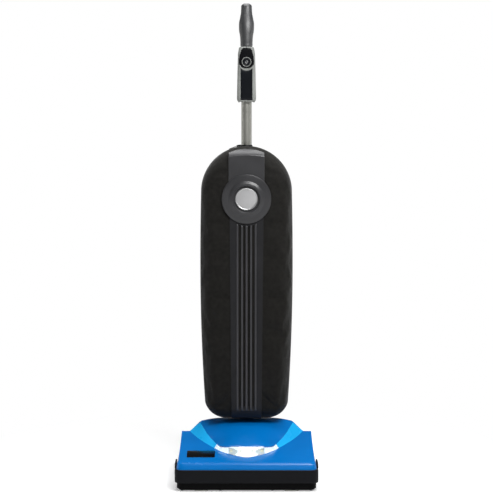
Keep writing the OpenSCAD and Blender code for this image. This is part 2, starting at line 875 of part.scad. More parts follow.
module wheel_left() {
    color("#3a3c40") mirror([1, 0, 0]) hub();
}

module tyre_left() {
    color("#161616") mirror([1, 0, 0]) tyre();
}

// Foot pedal that frees the upright
module release_pedal() {
    color("#1b1c1e") {
        difference() {
            union() {
                rod_x(pedal_x0, pedal_x1, pedal_y, pedal_z, pedal_pin_r + 4);
                slab(pedal_x0, pedal_x1, pedal_y, wheel_y + 30, pedal_z - 5, pedal_z + 1, 5);
                for (y = [wheel_y + 4:5:wheel_y + 24])
                    block(pedal_x0 + 4, pedal_x1 - 4, y, y + 2, pedal_z, pedal_z + 2);
            }
            rod_x(pedal_x0 - eps, pedal_x1 + eps, pedal_y, pedal_z, pedal_pin_r + run_clear);
        }
    }
}

// Coiled return spring on the pedal pin
module pedal_spring() {
    color("#a8abb0") {
        tube_x(-arm_x0 + 0.4, pedal_x0 - 0.4, pedal_y, pedal_z, pedal_pin_r + 2.5, pedal_pin_r + 0.3);
    }
}

// ---------------------------------------------------------------- neck and body

// Duct from the pivot up into the body: upright part, leaning part and upright part
module neck_duct(r, top) {
    lean = atan2(pivot_y - fill_y, neck_bend - neck_low);
    run = norm([pivot_y - fill_y, neck_bend - neck_low]);
    rod_z(0, pivot_y, pivot_z, neck_low, r);
    translate([0, pivot_y, neck_low]) sphere(r = r + bend_swell);
    translate([0, pivot_y, neck_low]) rotate([lean, 0, 0]) cylinder(r = r, h = run);
    translate([0, fill_y, neck_bend]) sphere(r = r + bend_swell);
    rod_z(0, fill_y, neck_bend, top, r);
}

// Swivel neck on the two trunnions
module neck_yoke() {
    color("#222326") {
        difference() {
            union() {
                rod_x(-barrel_half, barrel_half, pivot_y, pivot_z, barrel_r);
                neck_duct(fill_r, neck_top);
                slab(-24, 24, fill_y - fill_r + 2, fill_y + fill_r + 2, pad_z + seat_clear, pad_z + 3, 4);
            }
            neck_duct(fill_r - fill_wall, neck_top + eps);
            rod_x(-6, barrel_half + eps, pivot_y, pivot_z, trunnion_r + run_clear);
            rod_x(-barrel_half - eps, -22, pivot_y, pivot_z, pin_r + run_clear);
        }
    }
}

// Rear casing of the body with the battery bay and the socket of the handle tube
module back_shell() {
    color("#1f2022") {
        difference() {
            union() {
                difference() {
                    pillow(shell_rim, shell_rear, shell_round, rim_in);
                    pillow(shell_rim - eps, shell_rear - shell_wall, shell_round, rim_in + shell_wall);
                }
                block(-bay_half_w - shell_wall, bay_half_w + shell_wall, bay_y - shell_wall, shell_rear - 1,
                      bay_z0 - shell_wall, bay_z1 + shell_wall);
                block(-tube_r - 6, tube_r + 6, handle_y - tube_r - 5, shell_rear - shell_wall + 0.5,
                      tube_bottom, socket_top);
                block(-28, 28, fill_y - fill_r + 2, fill_y + fill_r + 0.6, body_bottom + shell_wall + 4, pad_z);
            }
            block(-bay_half_w, bay_half_w, bay_y, shell_rear + eps, bay_z0, bay_z1);
            rod_z(0, handle_y, tube_bottom - eps, socket_top + eps, tube_r + run_clear);
            rod_z(0, handle_y, socket_top, dome_crest + 10, collar_r + run_clear);
            rod_y(0, handle_y - 30, shell_rear + 5, bolt_z, bolt_r + run_clear);
            neck_duct(fill_r + seat_clear, neck_top);
        }
    }
}

// Pipe that carries the dirty air to the top of the bag
module fill_tube() {
    color("#2c2d30") {
        difference() {
            union() {
                rod_z(0, fill_y, neck_top + seat_clear, port_z - 8, fill_r);
                rod_z(0, fill_y, neck_top - 8, neck_top + 10, fill_r + 2);
            }
            rod_z(0, fill_y, neck_top, port_z, fill_r - fill_wall);
            rod_z(0, fill_y, neck_top - 9, neck_top + seat_clear, fill_r + seat_clear);
        }
    }
}

// Elbow and plate that hold the collar of the bag
module bag_dock() {
    color("#3c3e42") {
        difference() {
            union() {
                rod_z(0, fill_y, port_z - 25, port_z, fill_r + 2);
                translate([0, fill_y, port_z]) sphere(r = fill_r + 2 + bend_swell);
                rod_y(0, port_y - 8, fill_y, port_z, port_r);
                slab_y(-plate_half, plate_half, port_y, port_y + bag_plate_t, port_z - plate_half + 2, port_z + plate_half - 2, 8);
                rod_y(0, port_y, fill_y, port_z, port_r + 2);
                block(-10, 10, fill_y + 4, shell_rear - shell_wall - seat_clear, port_z - 12, port_z + 12);
            }
            rod_z(0, fill_y, port_z - 26, port_z - 8 + seat_clear, fill_r + seat_clear);
            rod_z(0, fill_y, port_z - 10, port_z, fill_r - fill_wall);
            translate([0, fill_y, port_z]) sphere(r = fill_r - fill_wall + bend_swell);
            rod_y(0, port_y - 9, fill_y, port_z, port_r - 2);
        }
    }
}

module bag_collar() {
    color("#cdb892") {
        difference() {
            slab_y(4 - plate_half, plate_half - 4, port_y - bag_plate_t - seat_clear, port_y - seat_clear,
                   port_z - plate_half + 6, port_z + plate_half - 6, 6);
            rod_y(0, port_y - 20, port_y + eps, port_z, port_r + seat_clear);
        }
    }
}

// Paper dust bag that hangs from its collar
module dust_bag() {
    rear = port_y - bag_plate_t - 2 * seat_clear;
    front = bag_front + bag_wall + 3;
    r = (rear - front) / 3;
    color("#e6dcc6") {
        difference() {
            hull()
                for (x = [-1, 1], y = [front + r, rear - r], z = [corner_z + 20, port_z + 34])
                    translate([x * (foot_w / 2 - 23 - r), y, z]) sphere(r = r, $fn = 24);
            rod_y(0, port_y - 14, port_y, port_z, port_r + 1);
        }
    }
}

// Zip tape round the seam, with the slider near the top
module zipper_tape() {
    color("#131313") {
        difference() {
            outline_plate(seam_y - tape_t / 2, seam_y + tape_t / 2, 0);
            outline_plate(seam_y - tape_t, seam_y + tape_t, 5);
        }
        translate([slider_x, seam_y, slider_z])
            rotate([0, -slider_slope, 0])
                difference() {
                    block(-5, 5, -4, 4, 0, 4);
                    block(-6, -1, -3.2, 3.2, 1, 5);
                    rod_y(-2.6, -5, 5, 2.2, 0.8 + run_clear);
                }
    }
}

// Pull tab of the zip, on a pin through the slider
module zipper_pull() {
    color("#2a2a2c") {
        translate([slider_x, seam_y, slider_z])
            rotate([0, -slider_slope, 0]) {
                rod_y(-2.6, -4, 4, 2.2, 0.8);
                block(-24, -2.6, -2.8, 2.8, 1.5, 2.9);
            }
    }
}

// ---------------------------------------------------------------- bag cover

// Front outline of the spine
function spine_outline() = [
    [-spine_foot_w / 2, body_bottom + 3], [spine_foot_w / 2, body_bottom + 3],
    [spine_w / 2, boss_z], [spine_top_w / 2, boss_z], [spine_top_w / 2, spine_top_z],
    [-spine_top_w / 2, spine_top_z], [-spine_top_w / 2, boss_z], [-spine_w / 2, boss_z]];

// Woven fabric cover of the bag compartment
module outer_bag() {
    color("#1d1c1a") {
        difference() {
            pillow(cover_rim, bag_front, bag_round, rim_in);
            pillow(cover_rim + eps, bag_front + bag_wall, bag_round, rim_in + bag_wall);
        }
    }
}

// Ribbed trim down the middle of the cover, with the round boss
module spine() {
    face_y = bag_front - spine_proud;
    color("#3d3d3f") {
        difference() {
            union() {
                difference() {
                    intersection() {
                        pillow(cover_rim - 10, face_y, bag_round + 2, rim_in - spine_proud + 1);
                        translate([0, 60, 0]) rotate([90, 0, 0]) linear_extrude(80) polygon(spine_outline());
                    }
                    pillow(cover_rim, bag_front - seat_clear, bag_round, rim_in - seat_clear);
                }
                translate([0, bag_front - seat_clear, boss_z])
                    rotate([90, 0, 0])
                        cylinder(r1 = boss_r, r2 = boss_r - 2, h = bag_front - boss_y, $fn = 96);
                translate([0, boss_y + 1, boss_z])
                    rotate([90, 0, 0])
                        cylinder(r1 = ring_r + 1, r2 = ring_r - 4, h = ring_proud + 1, $fn = 96);
                for (i = [-2:2])
                    block(i * rib_pitch - (rib_pitch - groove_w) / 2, i * rib_pitch + (rib_pitch - groove_w) / 2,
                          face_y - 0.8, face_y + 1, rib_z0, boss_z - sqrt(pow(boss_r + 3, 2) - pow(i * rib_pitch, 2)));
            }
            for (i = [-1.5, -0.5, 0.5, 1.5])
                block(i * rib_pitch - groove_w / 2, i * rib_pitch + groove_w / 2, face_y - 2, face_y + groove_deep,
                      rib_z0, boss_z - sqrt(pow(boss_r + 2, 2) - pow(i * rib_pitch, 2)));
            translate([0, boss_y + recess, boss_z])
                rotate([90, 0, 0])
                    cylinder(r1 = ring_in, r2 = ring_in + 1.3, h = recess + ring_proud + 1, $fn = 96);
        }
    }
}

// Plain disc in the recess of the boss
module medallion() {
    color("#c4c6c9") {
        translate([0, boss_y + recess - seat_clear, boss_z])
            rotate([90, 0, 0])
                cylinder(r1 = medallion_r, r2 = medallion_r - 1.2, h = recess, $fn = 96);
    }
}

// ---------------------------------------------------------------- battery

// Contact block and side rails in the bay
module battery_dock() {
    color("#2b2d30") {
        block(-22, 22, bay_y + seat_clear, shell_rear - 2, bay_z0, pack_z - gap);
        both_sides()
            block(pack_w / 2 + gap, bay_half_w, bay_y + seat_clear, shell_rear - 2, pack_z + 30, pack_z + 36);
    }
}

module battery_pack() {
    top = pack_z + pack_h;
    color("#18191b") {
        difference() {
            slab_y(-pack_w / 2, pack_w / 2, bay_y + gap, shell_rear + pack_out, pack_z, top, 10);
            block(-14, 14, shell_rear + 4, shell_rear + 16, top - 14, top + eps);
        }
    }
}

// Spring-loaded button on top of the pack
module battery_latch() {
    top = pack_z + pack_h;
    color("#3b3d41") {
        block(-13.6, 13.6, shell_rear + 4.4, shell_rear + 15.6, top - 9, top + 4);
    }
}

// ---------------------------------------------------------------- handle

module handle_tube() {
    color("#9b9fa3") {
        difference() {
            rod_z(0, handle_y, tube_bottom, housing_z + 36, tube_r);
            rod_z(0, handle_y, tube_bottom - eps, housing_z + 37, tube_r - tube_wall);
            rod_y(0, handle_y - tube_r - 2, handle_y + tube_r + 2, bolt_z, bolt_r + run_clear);
        }
    }
}

// Sleeve where the tube enters the body
module tube_collar() {
    color("#101012") {
        difference() {
            union() {
                rod_z(0, handle_y, socket_top + seat_clear, dome_crest + 6, collar_r);
                translate([0, handle_y, dome_crest + 6]) cylinder(r1 = collar_r, r2 = tube_r + 1, h = 4);
            }
            rod_z(0, handle_y, socket_top, dome_crest + 12, tube_r + run_clear);
        }
    }
}

// Bolt through the socket and the tube, with its nut
module tube_bolt() {
    color("#8c9096") {
        rod_y(0, handle_y - tube_r - 9, shell_rear + 1, bolt_z, bolt_r);
        rod_y(0, shell_rear + seat_clear, shell_rear + 3, bolt_z, bolt_r + 2.5);
        translate([0, handle_y - tube_r - 5 - seat_clear, bolt_z])
            rotate([90, 0, 0]) cylinder(r = bolt_r + 2.8, h = 4, $fn = 6);
    }
}

// Lead from the switch down the tube to the battery dock
module handle_lead() {
    r = 2.4;
    inner_x = tube_r - tube_wall - r - seat_clear;
    side_x = fill_r + 2 + r + 1;
    turn_z = tube_bottom - 6;
    color("#141414") {
        rod_z(inner_x, handle_y, turn_z, button_z - 20, r);
        translate([inner_x, handle_y, turn_z]) sphere(r = r + bend_swell);
        rod_x(inner_x, side_x, handle_y, turn_z, r);
        translate([side_x, handle_y, turn_z]) sphere(r = r + bend_swell);
        rod_z(side_x, handle_y, bay_z1 + shell_wall + 8, turn_z, r);
        translate([side_x, handle_y, bay_z1 + shell_wall + 8]) sphere(r = r + bend_swell);
        rod_y(side_x, handle_y, bay_y + 8, bay_z1 + shell_wall + 8, r);
        rod_z(side_x, bay_y + 8, bay_z1 + shell_wall + seat_clear, bay_z1 + shell_wall + 11, r + 1.5);
    }
}

// Front outline of the handle housing, drawn in by d
function housing_outline(d) = let (
    w = housing_w / 2,
    right = [[0.83 * w - d, d], [w - d, 6 + d], [0.945 * w - d, 0.54 * housing_h], [0.89 * w - d, 0.87 * housing_h],
             [0.84 * w - d, 0.93 * housing_h], [0.78 * w - d, 0.985 * housing_h - d], [0.66 * w - d, housing_h - d]])
    concat(right, [for (i = [6:-1:0]) [-right[i][0], right[i][1]]]);

module housing_plate(y0, y1, d) {
    translate([0, y1, housing_z]) rotate([90, 0, 0]) linear_extrude(y1 - y0) polygon(housing_outline(d));
}

// Room inside the housing for the tube and the root of the grip
module housing_room() {
    wall = 2.4;
    housing_plate(housing_y0 + wall, housing_y1 - wall, wall);
    rod_z(0, handle_y, housing_z - eps, housing_z + 10, tube_r + seat_clear);
    block(-root_w / 2 - seat_clear, root_w / 2 + seat_clear, handle_y - 10 - seat_clear, handle_y + 10 + seat_clear,
          housing_top - 10, housing_top + eps);
}

// Window for the two black inserts, grown by g
module insert_window(g) {
    rod_y(0, housing_y0 - 1, housing_y0 + 5, insert_top, insert_r + g);
    block(-insert_r - g, insert_r + g, housing_y0 - 1, housing_y0 + 5, housing_z + 4 - g, insert_top);
}

module handle_shell_front() {
    color("#a6a9ad") {
        difference() {
            housing_plate(housing_y0, part_y, 0);
            housing_room();
            insert_window(seat_clear);
        }
    }
}

module handle_shell_rear() {
    color("#8f9296") {
        difference() {
            union() {
                difference() {
                    housing_plate(part_y + seat_clear, housing_y1, 0);
                    housing_room();
                }
                for (z = screw_heights)
                    rod_y(screw_x, part_y + seat_clear, housing_y1 - 1, z, 3.6);
            }
            for (z = screw_heights)
                rod_y(screw_x, part_y, housing_y1 + eps, z, 1.6);
        }
    }
}

module handle_screws() {
    color("#8c9096") {
        for (z = screw_heights) {
            rod_y(screw_x, part_y + 2, housing_y1, z, 1.5);
            rod_y(screw_x, housing_y1 + 0.1, housing_y1 + 1.6, z, 3);
        }
    }
}

// Black panel under the switch
module handle_panel() {
    color("#161719") {
        difference() {
            block(-insert_r, insert_r, housing_y0 - 0.5, housing_y0 + 3, housing_z + 4, switch_low);
            rod_y(0, housing_y0 - 1, housing_y0 + 4, switch_low, insert_r + 2.2);
        }
    }
}

// Black surround of the power button, with its raised ring
module switch_bezel() {
    color("#17181a") {
        difference() {
            union() {
                rod_y(0, housing_y0 - 0.5, housing_y0 + 4, insert_top, insert_r);
                rod_y(0, housing_y0 - 0.5, housing_y0 + 4, switch_low, insert_r);
                block(-insert_r, insert_r, housing_y0 - 0.5, housing_y0 + 4, switch_low, insert_top);
                rod_y(0, housing_y0 - 2, housing_y0, button_z, button_r + 2.8);
            }
            rod_y(0, housing_y0 - 3, housing_y0 + 5, button_z, button_r + gap);
        }
    }
}

module power_button() {
    color("#1d1e21") {
        rod_y(0, housing_y0 - 2.2, housing_y0 + 9, button_z, button_r);
    }
}

// Round switch that the button presses
module switch_body() {
    color("#303134") {
        difference() {
            rod_y(0, housing_y0 + 4 + seat_clear, housing_y0 + 24, button_z, button_r + 3);
            rod_y(0, housing_y0 + 4, housing_y0 + 11.4, button_z, button_r + gap);
            rod_z(tube_r - tube_wall - 2.6, handle_y, housing_z, button_z - 4, 3);
        }
    }
}

// Grip: [height share, set-back, width share, half depth] of each ring
grip_rings = [
    [0, 0, 0.76, 12.6], [0.03, 0.4, 0.8, 13], [0.08, 1, 0.8, 13.2], [0.13, 1.5, 0.81, 13.6],
    [0.25, 3, 0.86, 14.4], [0.36, 5, 0.97, 15.6], [0.45, 7, 1, 16.4], [0.55, 9.5, 0.99, 16.4],
    [0.66, 13, 0.87, 15.4], [0.78, 17, 0.75, 13.6], [0.88, 20, 0.72, 12.4], [0.94, 21.5, 0.7, 11.6],
    [0.975, 22.3, 0.6, 9.6], [1, 22.8, 0.36, 6]];
grip_sides = 28;

module grip() {
    n = len(grip_rings);
    points = [for (g = grip_rings, i = [0:grip_sides - 1])
        let (a = 360 * i / grip_sides)
            [grip_w / 2 * g[2] * cos(a), handle_y + g[1] + g[3] * sin(a), housing_top + seat_clear + grip_h * g[0]]];
    sides = [for (k = [0:n - 2], i = [0:grip_sides - 1])
        let (j = (i + 1) % grip_sides, a = k * grip_sides)
            each [[a + i, a + grip_sides + i, a + grip_sides + j], [a + i, a + grip_sides + j, a + j]]];
    caps = [[for (i = [0:grip_sides - 1]) i], [for (i = [grip_sides - 1:-1:0]) (n - 1) * grip_sides + i]];
    color("#151618") {
        polyhedron(points, concat(sides, caps));
        block(-root_w / 2, root_w / 2, handle_y - 10, handle_y + 10, button_z + button_r + 4, housing_top + 2);
    }
}

// ---------------------------------------------------------------- all pieces

chassis();
sole_plate();
sole_screws();
glide_pads();
bumper();
side_guards();
hood();
headlight_lens();
headlight_board();
headlight_leds();
badge_plate();
brush_end_blocks();
intake_duct();
fan_housing();
exhaust_elbow();
motor_housing();
motor_bearings();
motor_cradles();
drive_belt();
pivot_pins();
wheel_axles();
pedal_spring();
brush_core();
brush_bristles();
brush_axle();
motor_shaft();
motor_armature();
drive_pulley();
suction_fan();
wheel_left();
tyre_left();
wheel_right();
tyre_right();
release_pedal();
neck_yoke();
back_shell();
fill_tube();
bag_dock();
dust_bag();
bag_collar();
handle_tube();
tube_collar();
tube_bolt();
battery_dock();
handle_lead();
handle_shell_front();
handle_shell_rear();
handle_panel();
switch_bezel();
switch_body();
grip();
handle_screws();
zipper_tape();
outer_bag();
spine();
medallion();
battery_pack();
battery_latch();
power_button();
zipper_pull();
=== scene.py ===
"""Finishes, fabric and trims of an upright battery vacuum cleaner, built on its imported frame."""

import math
from contextlib import contextmanager

import bmesh
import bpy
import numpy as np
from bpy.props import FloatProperty, FloatVectorProperty, IntProperty, PointerProperty
from mathutils import Matrix, Vector
from mathutils.bvhtree import BVHTree


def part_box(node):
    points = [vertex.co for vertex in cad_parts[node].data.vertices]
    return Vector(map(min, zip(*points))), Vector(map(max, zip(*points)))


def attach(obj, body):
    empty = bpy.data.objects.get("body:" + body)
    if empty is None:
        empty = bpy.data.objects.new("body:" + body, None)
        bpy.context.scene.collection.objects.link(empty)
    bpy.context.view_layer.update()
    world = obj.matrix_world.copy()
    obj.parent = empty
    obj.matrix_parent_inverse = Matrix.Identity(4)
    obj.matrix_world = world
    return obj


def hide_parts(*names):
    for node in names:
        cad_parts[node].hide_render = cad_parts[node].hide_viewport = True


bl_info = {
    "name": "Upright vacuum cleaner",
    "version": (1, 0, 0),
    "blender": (4, 5, 0),
    "location": "3D View > Sidebar > Vacuum",
    "description": "Builds the casings, fabric, trims and finishes of an upright vacuum cleaner",
    "category": "Object",
}

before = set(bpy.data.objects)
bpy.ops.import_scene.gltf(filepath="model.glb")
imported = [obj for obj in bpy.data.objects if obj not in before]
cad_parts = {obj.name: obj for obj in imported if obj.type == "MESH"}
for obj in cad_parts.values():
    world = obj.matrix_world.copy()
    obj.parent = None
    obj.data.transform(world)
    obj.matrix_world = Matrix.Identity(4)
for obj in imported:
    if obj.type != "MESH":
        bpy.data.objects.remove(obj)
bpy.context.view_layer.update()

MM = 0.001
PICTURE_H = 495  # height of the picture, in pixels
FOCAL_PX = 1525  # focal length, in pixels


# ------------------------------------------------------------------ sizes


def box_mm(node):
    """Lowest and highest corner of a CAD node, in millimetres."""
    lo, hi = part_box(node)
    return lo / MM, hi / MM


COVER_LO, COVER_HI = box_mm("outer_bag")
SHELL_LO, SHELL_HI = box_mm("back_shell")
TAPE_LO, TAPE_HI = box_mm("zipper_tape")
HOOD_LO, HOOD_HI = box_mm("hood")
BUMPER_LO, BUMPER_HI = box_mm("bumper")
TUBE_LO, TUBE_HI = box_mm("handle_tube")
HOUSING_LO, HOUSING_HI = box_mm("handle_shell_front")
GRIP_LO, GRIP_HI = box_mm("grip")
BUTTON_LO, BUTTON_HI = box_mm("power_button")
BUTTON_Z = (BUTTON_LO.z + BUTTON_HI.z) / 2
HANDLE_Y = (TUBE_LO.y + TUBE_HI.y) / 2
BELT_LO, BELT_HI = box_mm("drive_belt")
BAY_TOP = box_mm("battery_pack")[1].z + 2

# Front outline of the body: widest height, lower corners and the circle of the dome
BODY_HALF = TAPE_HI.x
BODY_BOTTOM = TAPE_LO.z
DOME_R = 109.0
DOME_Z = 685.0
BELLY_Z = 500.0
FOOT_HALF = 101.0
CORNER_W = 56.0
CORNER_H = 45.0
CORNER_Z = BODY_BOTTOM + CORNER_H

# Hood: crease round the front, low deck, and the dome with its curved band
CREASE_Y = HOOD_LO.y + 7
CREASE_Z = 66.0
DECK_REAR_Z = 98.0
HEAD_REAR = 70.0
DECK_SLOPE = (DECK_REAR_Z - CREASE_Z) / (HEAD_REAR - CREASE_Y)
HOOD_HALF = HOOD_HI.x
DOME_TOP_Z = 132.6
LENS_HALF = 77.0
HOOD_WALL = 2.6

# Spine and its round boss
BOSS_Z = 670.0
BOSS_R = 58.7
RING_R = 42.6  # outer radius of the raised ring
TRIM_SKIRT = 12.0  # how far the trim's hidden edges reach back where no cloth stops them
TRIM_SEAT = 1.3  # how deep the trim's hidden edges sit under the face of the cloth
BOSS_Y = COVER_LO.y - 7
RIB_PITCH = 10.8
GROOVE_W = 5.8
RIB_FOOT_Z = BODY_BOTTOM + 27
RIB_REACH = 2 * RIB_PITCH + (RIB_PITCH - GROOVE_W) / 2  # half width of the ribbed strip
RIB_EDGE = 0.8  # width of the strip's bevelled edge
BOSS_GAP = 4.5  # from the boss to the ends of the ribs
SPINE_TOP = 5.8  # how far inside the outline the spine's upper edge turns back


def lin(code):
    """sRGB hex colour as linear RGBA."""
    values = [int(code[i : i + 2], 16) / 255 for i in (1, 3, 5)]
    return [v / 12.92 if v <= 0.04045 else ((v + 0.055) / 1.055) ** 2.4 for v in values] + [1.0]


def colour(name, code, about):
    """A colour property whose default is an sRGB hex value."""
    return FloatVectorProperty(
        name=name, description=about, subtype="COLOR", size=4, min=0, max=1, default=lin(code)
    )


def length(name, about, default, low, high):
    """A length property, in metres."""
    return FloatProperty(name=name, description=about, default=default, min=low, max=high, unit="LENGTH")


class VACUUM_PG_finish(bpy.types.PropertyGroup):
    """Colours and pattern scales that a user would change."""

    hood: colour("Hood", "#0072c3", "Moulded top of the floor head")
    # The band's lighter blue is painted light: it stands in for the light that the band catches.
    band: colour("Hood band", "#1fb0f2", "Curved band on both sides of the headlight")
    fabric: colour("Fabric", "#191816", "Woven cover of the bag")
    spine: colour("Spine", "#323234", "Ribbed trim down the front")
    silver: colour("Silver", "#858784", "Painted shells of the handle")
    tube: colour("Tube", "#999993", "Handle tube")
    medallion: colour("Medallion", "#c7c7c8", "Plain disc in the boss")
    casing: colour("Casing", "#0c0d0f", "Black casings and the back shell")
    weave: length("Thread spacing", "Spacing of the threads of the cover", 0.0014, 0.0005, 0.004)


class VACUUM_PG_sizes(bpy.types.PropertyGroup):
    """Sizes of the looks that the frame leaves open."""

    crown: length("Cover crown", "How far the fabric bulges between the spine and its rim", 0.0025, 0.0, 0.008)
    cover_round: length("Cover rounding", "Rounding of the fabric towards its rim", 0.034, 0.02, 0.04)
    slack: length("Cover slack", "Furthest that the fabric leaves its cut shape when it settles", 0.0022, 0.0, 0.008)
    piping: length("Piping radius", "Radius of the welt round the cover", 0.0016, 0.0008, 0.003)
    tufts: IntProperty(
        name="Filaments", description="Filaments in one tuft of the brush", default=14, min=4, max=40
    )


class VACUUM_PG_stage(bpy.types.PropertyGroup):
    """Camera and lights."""

    distance: length("Camera distance", "Camera in front of the origin", 3.6, 2.0, 8.0)
    height: length("Camera height", "Camera above the floor", 0.9, 0.2, 2.0)
    tilt: FloatProperty(
        name="Camera tilt",
        description="How far the camera looks down",
        default=math.radians(5.47),
        min=0.0,
        max=0.5,
        subtype="ANGLE",
    )
    light: FloatProperty(
        name="Light", description="Share of the studio light", default=1.0, min=0.0, max=3.0, subtype="FACTOR"
    )


# ------------------------------------------------------------------ material tools


def add(tree, kind, inputs=None, **settings):
    """Adds a node, with its settings, its socket values and its links."""
    node = tree.nodes.new(kind)
    for key, value in settings.items():
        setattr(node, key, value)
    for key, value in (inputs or {}).items():
        socket = node.inputs[key]
        if isinstance(value, bpy.types.NodeSocket):
            tree.links.new(value, socket)
        else:
            socket.default_value = value
    return node


def calculate(tree, operation, *values):
    """Result of a maths node."""
    return add(tree, "ShaderNodeMath", dict(enumerate(values)), operation=operation).outputs[0]


def remap(tree, value, low, high, to_low=0.0, to_high=1.0, **settings):
    """A value moved from one range to another."""
    ends = {"From Min": low, "From Max": high, "To Min": to_low, "To Max": to_high}
    return add(tree, "ShaderNodeMapRange", {"Value": value, **ends}, **settings).outputs["Result"]


def surface(name, colour_value, roughness, **sockets):
    """A new material with one Principled shader, and the tools to add a pattern to it."""
    made = bpy.data.materials.new(name)
    made.use_nodes = True
    made.diffuse_color = colour_value
    tree = made.node_tree
    shader = tree.nodes["Principled BSDF"]
    shader.inputs["Base Color"].default_value = colour_value
    shader.inputs["Roughness"].default_value = roughness
    for key, value in sockets.items():
        shader.inputs[key.replace("_", " ")].default_value = value
    return made, tree, shader


def object_place(tree, scale=(1, 1, 1), turn=(0, 0, 0)):
    """Object coordinates in metres, scaled and turned."""
    place = add(tree, "ShaderNodeTexCoord")
    return add(
        tree, "ShaderNodeMapping", {"Vector": place.outputs["Object"], "Scale": scale, "Rotation": turn}
    ).outputs["Vector"]


def ramp(tree, factor, low, high, colours):
    """Colour ramp between two positions."""
    node = add(tree, "ShaderNodeValToRGB", {"Fac": factor})
    for element, place, value in zip(node.color_ramp.elements, (low, high), colours):
        element.position = place
        element.color = value
    return node.outputs["Color"]


def grey(value):
    """A grey as RGBA."""
    return (value, value, value, 1.0)


def shade(colour_value, factor):
    """A colour made darker or lighter."""
    return [min(1.0, c * factor) for c in colour_value[:3]] + [1.0]


def relief(tree, shader, height, depth_mm, below=None):
    """Bump from a height, with its depth in millimetres."""
    inputs = {"Height": height, "Distance": depth_mm * MM, "Strength": 1.0}
    if below:
        inputs["Normal"] = below
    bump = add(tree, "ShaderNodeBump", inputs)
    tree.links.new(bump.outputs["Normal"], shader.inputs["Normal"])
    return bump.outputs["Normal"]


def speckle(tree, place, spacing_mm, detail=3.0, roughness=0.5):
    """Noise whose grains lie about spacing_mm apart."""
    return add(
        tree,
        "ShaderNodeTexNoise",
        {"Vector": place, "Scale": 1 / (spacing_mm * MM), "Detail": detail, "Roughness": roughness},
    ).outputs["Fac"]


def vary(tree, shader, place, colour_value, roughness, patch_mm=60, amount=0.12):
    """Slow variation of colour and roughness, as handling and dust leave it."""
    patches = speckle(tree, place, patch_mm, detail=4.0)
    low, high = shade(colour_value, 1 - amount), shade(colour_value, 1 + amount)
    tree.links.new(ramp(tree, patches, 0.3, 0.7, (low, high)), shader.inputs["Base Color"])
    smudge = remap(tree, patches, 0.3, 0.7, roughness * 0.85, roughness * 1.15)
    tree.links.new(smudge, shader.inputs["Roughness"])


# ------------------------------------------------------------------ materials


def moulded(name, colour_value, roughness=0.42, grain_mm=0.9, depth_mm=0.05, specular=0.28):
    """ABS moulded in a spark-eroded tool: a fine grain that breaks up the highlight."""
    made, tree, shader = surface(name, colour_value, roughness, Specular_IOR_Level=specular)
    place = object_place(tree)
    vary(tree, shader, place, colour_value, roughness)
    relief(tree, shader, speckle(tree, place, grain_mm, detail=2.0), depth_mm)
    return made


def glossy(name, colour_value, roughness=0.2, coat=0.06, specular=0.22):
    """Polished ABS with a clear lacquer: sharp reflections over a faint orange peel."""
    made, tree, shader = surface(
        name, colour_value, roughness, Coat_Weight=coat, Coat_Roughness=0.08, Specular_IOR_Level=specular
    )
    place = object_place(tree)
    vary(tree, shader, place, colour_value, roughness, patch_mm=90, amount=0.04)
    relief(tree, shader, speckle(tree, place, 2.4, detail=1.0), 0.012)
    return made


def rubber(name, colour_value, roughness=0.62, grain_mm=1.4, specular=0.2):
    """Moulded elastomer: matt, with a soft sheen and a pebbled skin."""
    made, tree, shader = surface(
        name, colour_value, roughness, Sheen_Weight=0.04, Sheen_Roughness=0.5, Specular_IOR_Level=specular
    )
    place = object_place(tree)
    vary(tree, shader, place, colour_value, roughness, patch_mm=35, amount=0.18)
    relief(tree, shader, speckle(tree, place, grain_mm, detail=3.0), 0.09)
    return made


def metal(name, colour_value, roughness, brush_axis=None, spacing_mm=0.6, depth_mm=0.01):
    """Bare or plated metal. Brushed metal has fine lines along one axis."""
    made, tree, shader = surface(name, colour_value, roughness, Metallic=1.0)
    stretch = [1.0, 1.0, 1.0]
    if brush_axis is not None:
        stretch[brush_axis] = 0.02
    place = object_place(tree, scale=stretch)
    vary(tree, shader, object_place(tree), colour_value, roughness, patch_mm=40, amount=0.07)
    relief(tree, shader, speckle(tree, place, spacing_mm, detail=2.0), depth_mm)
    return made


def woven(name, colour_value, spacing, roughness=0.78):
    """Basket-woven polyester: warp and weft threads that pass over each other, with a dull sheen.
    Real threads lie about 0.6 mm apart; they are drawn coarser so that the weave still shows."""
    made, tree, shader = surface(
        name, colour_value, roughness, Sheen_Weight=0.12, Sheen_Roughness=0.4, Specular_IOR_Level=0.14
    )
    cloth = add(tree, "ShaderNodeUVMap", uv_map="cloth").outputs["UV"]
    split = add(tree, "ShaderNodeSeparateXYZ", {"Vector": cloth})
    waves = []
    for axis in ("X", "Y"):
        turned = calculate(tree, "MULTIPLY", split.outputs[axis], math.pi / spacing)
        waves.append(calculate(tree, "SINE", turned))
    over = remap(tree, calculate(tree, "MULTIPLY", *waves), -1.0, 1.0)
    warp, weft = (calculate(tree, "ABSOLUTE", wave) for wave in waves)
    thread = add(tree, "ShaderNodeMix", {"Factor": over, "A": warp, "B": weft}, data_type="FLOAT")
    place = object_place(tree)
    slub = speckle(tree, place, 9, detail=6.0)
    height = calculate(tree, "MULTIPLY", thread.outputs["Result"], slub)
    relief(tree, shader, height, 0.35)
    # Colour follows the height of the weave: darker down between the threads as painted shade, lighter on their tops
    # as painted highlight, with random tone from the slubs.
    low, high = shade(colour_value, 0.55), shade(colour_value, 1.75)
    tree.links.new(ramp(tree, height, 0.05, 0.62, (low, high)), shader.inputs["Base Color"])
    return made


def clear(name, colour_value, roughness=0.12):
    """Clear polycarbonate: it passes most light and keeps a sharp highlight."""
    made, tree, shader = surface(name, colour_value, roughness, Transmission_Weight=0.92, IOR=1.58)
    place = object_place(tree)
    relief(tree, shader, speckle(tree, place, 3.0, detail=1.0), 0.02)
    return made


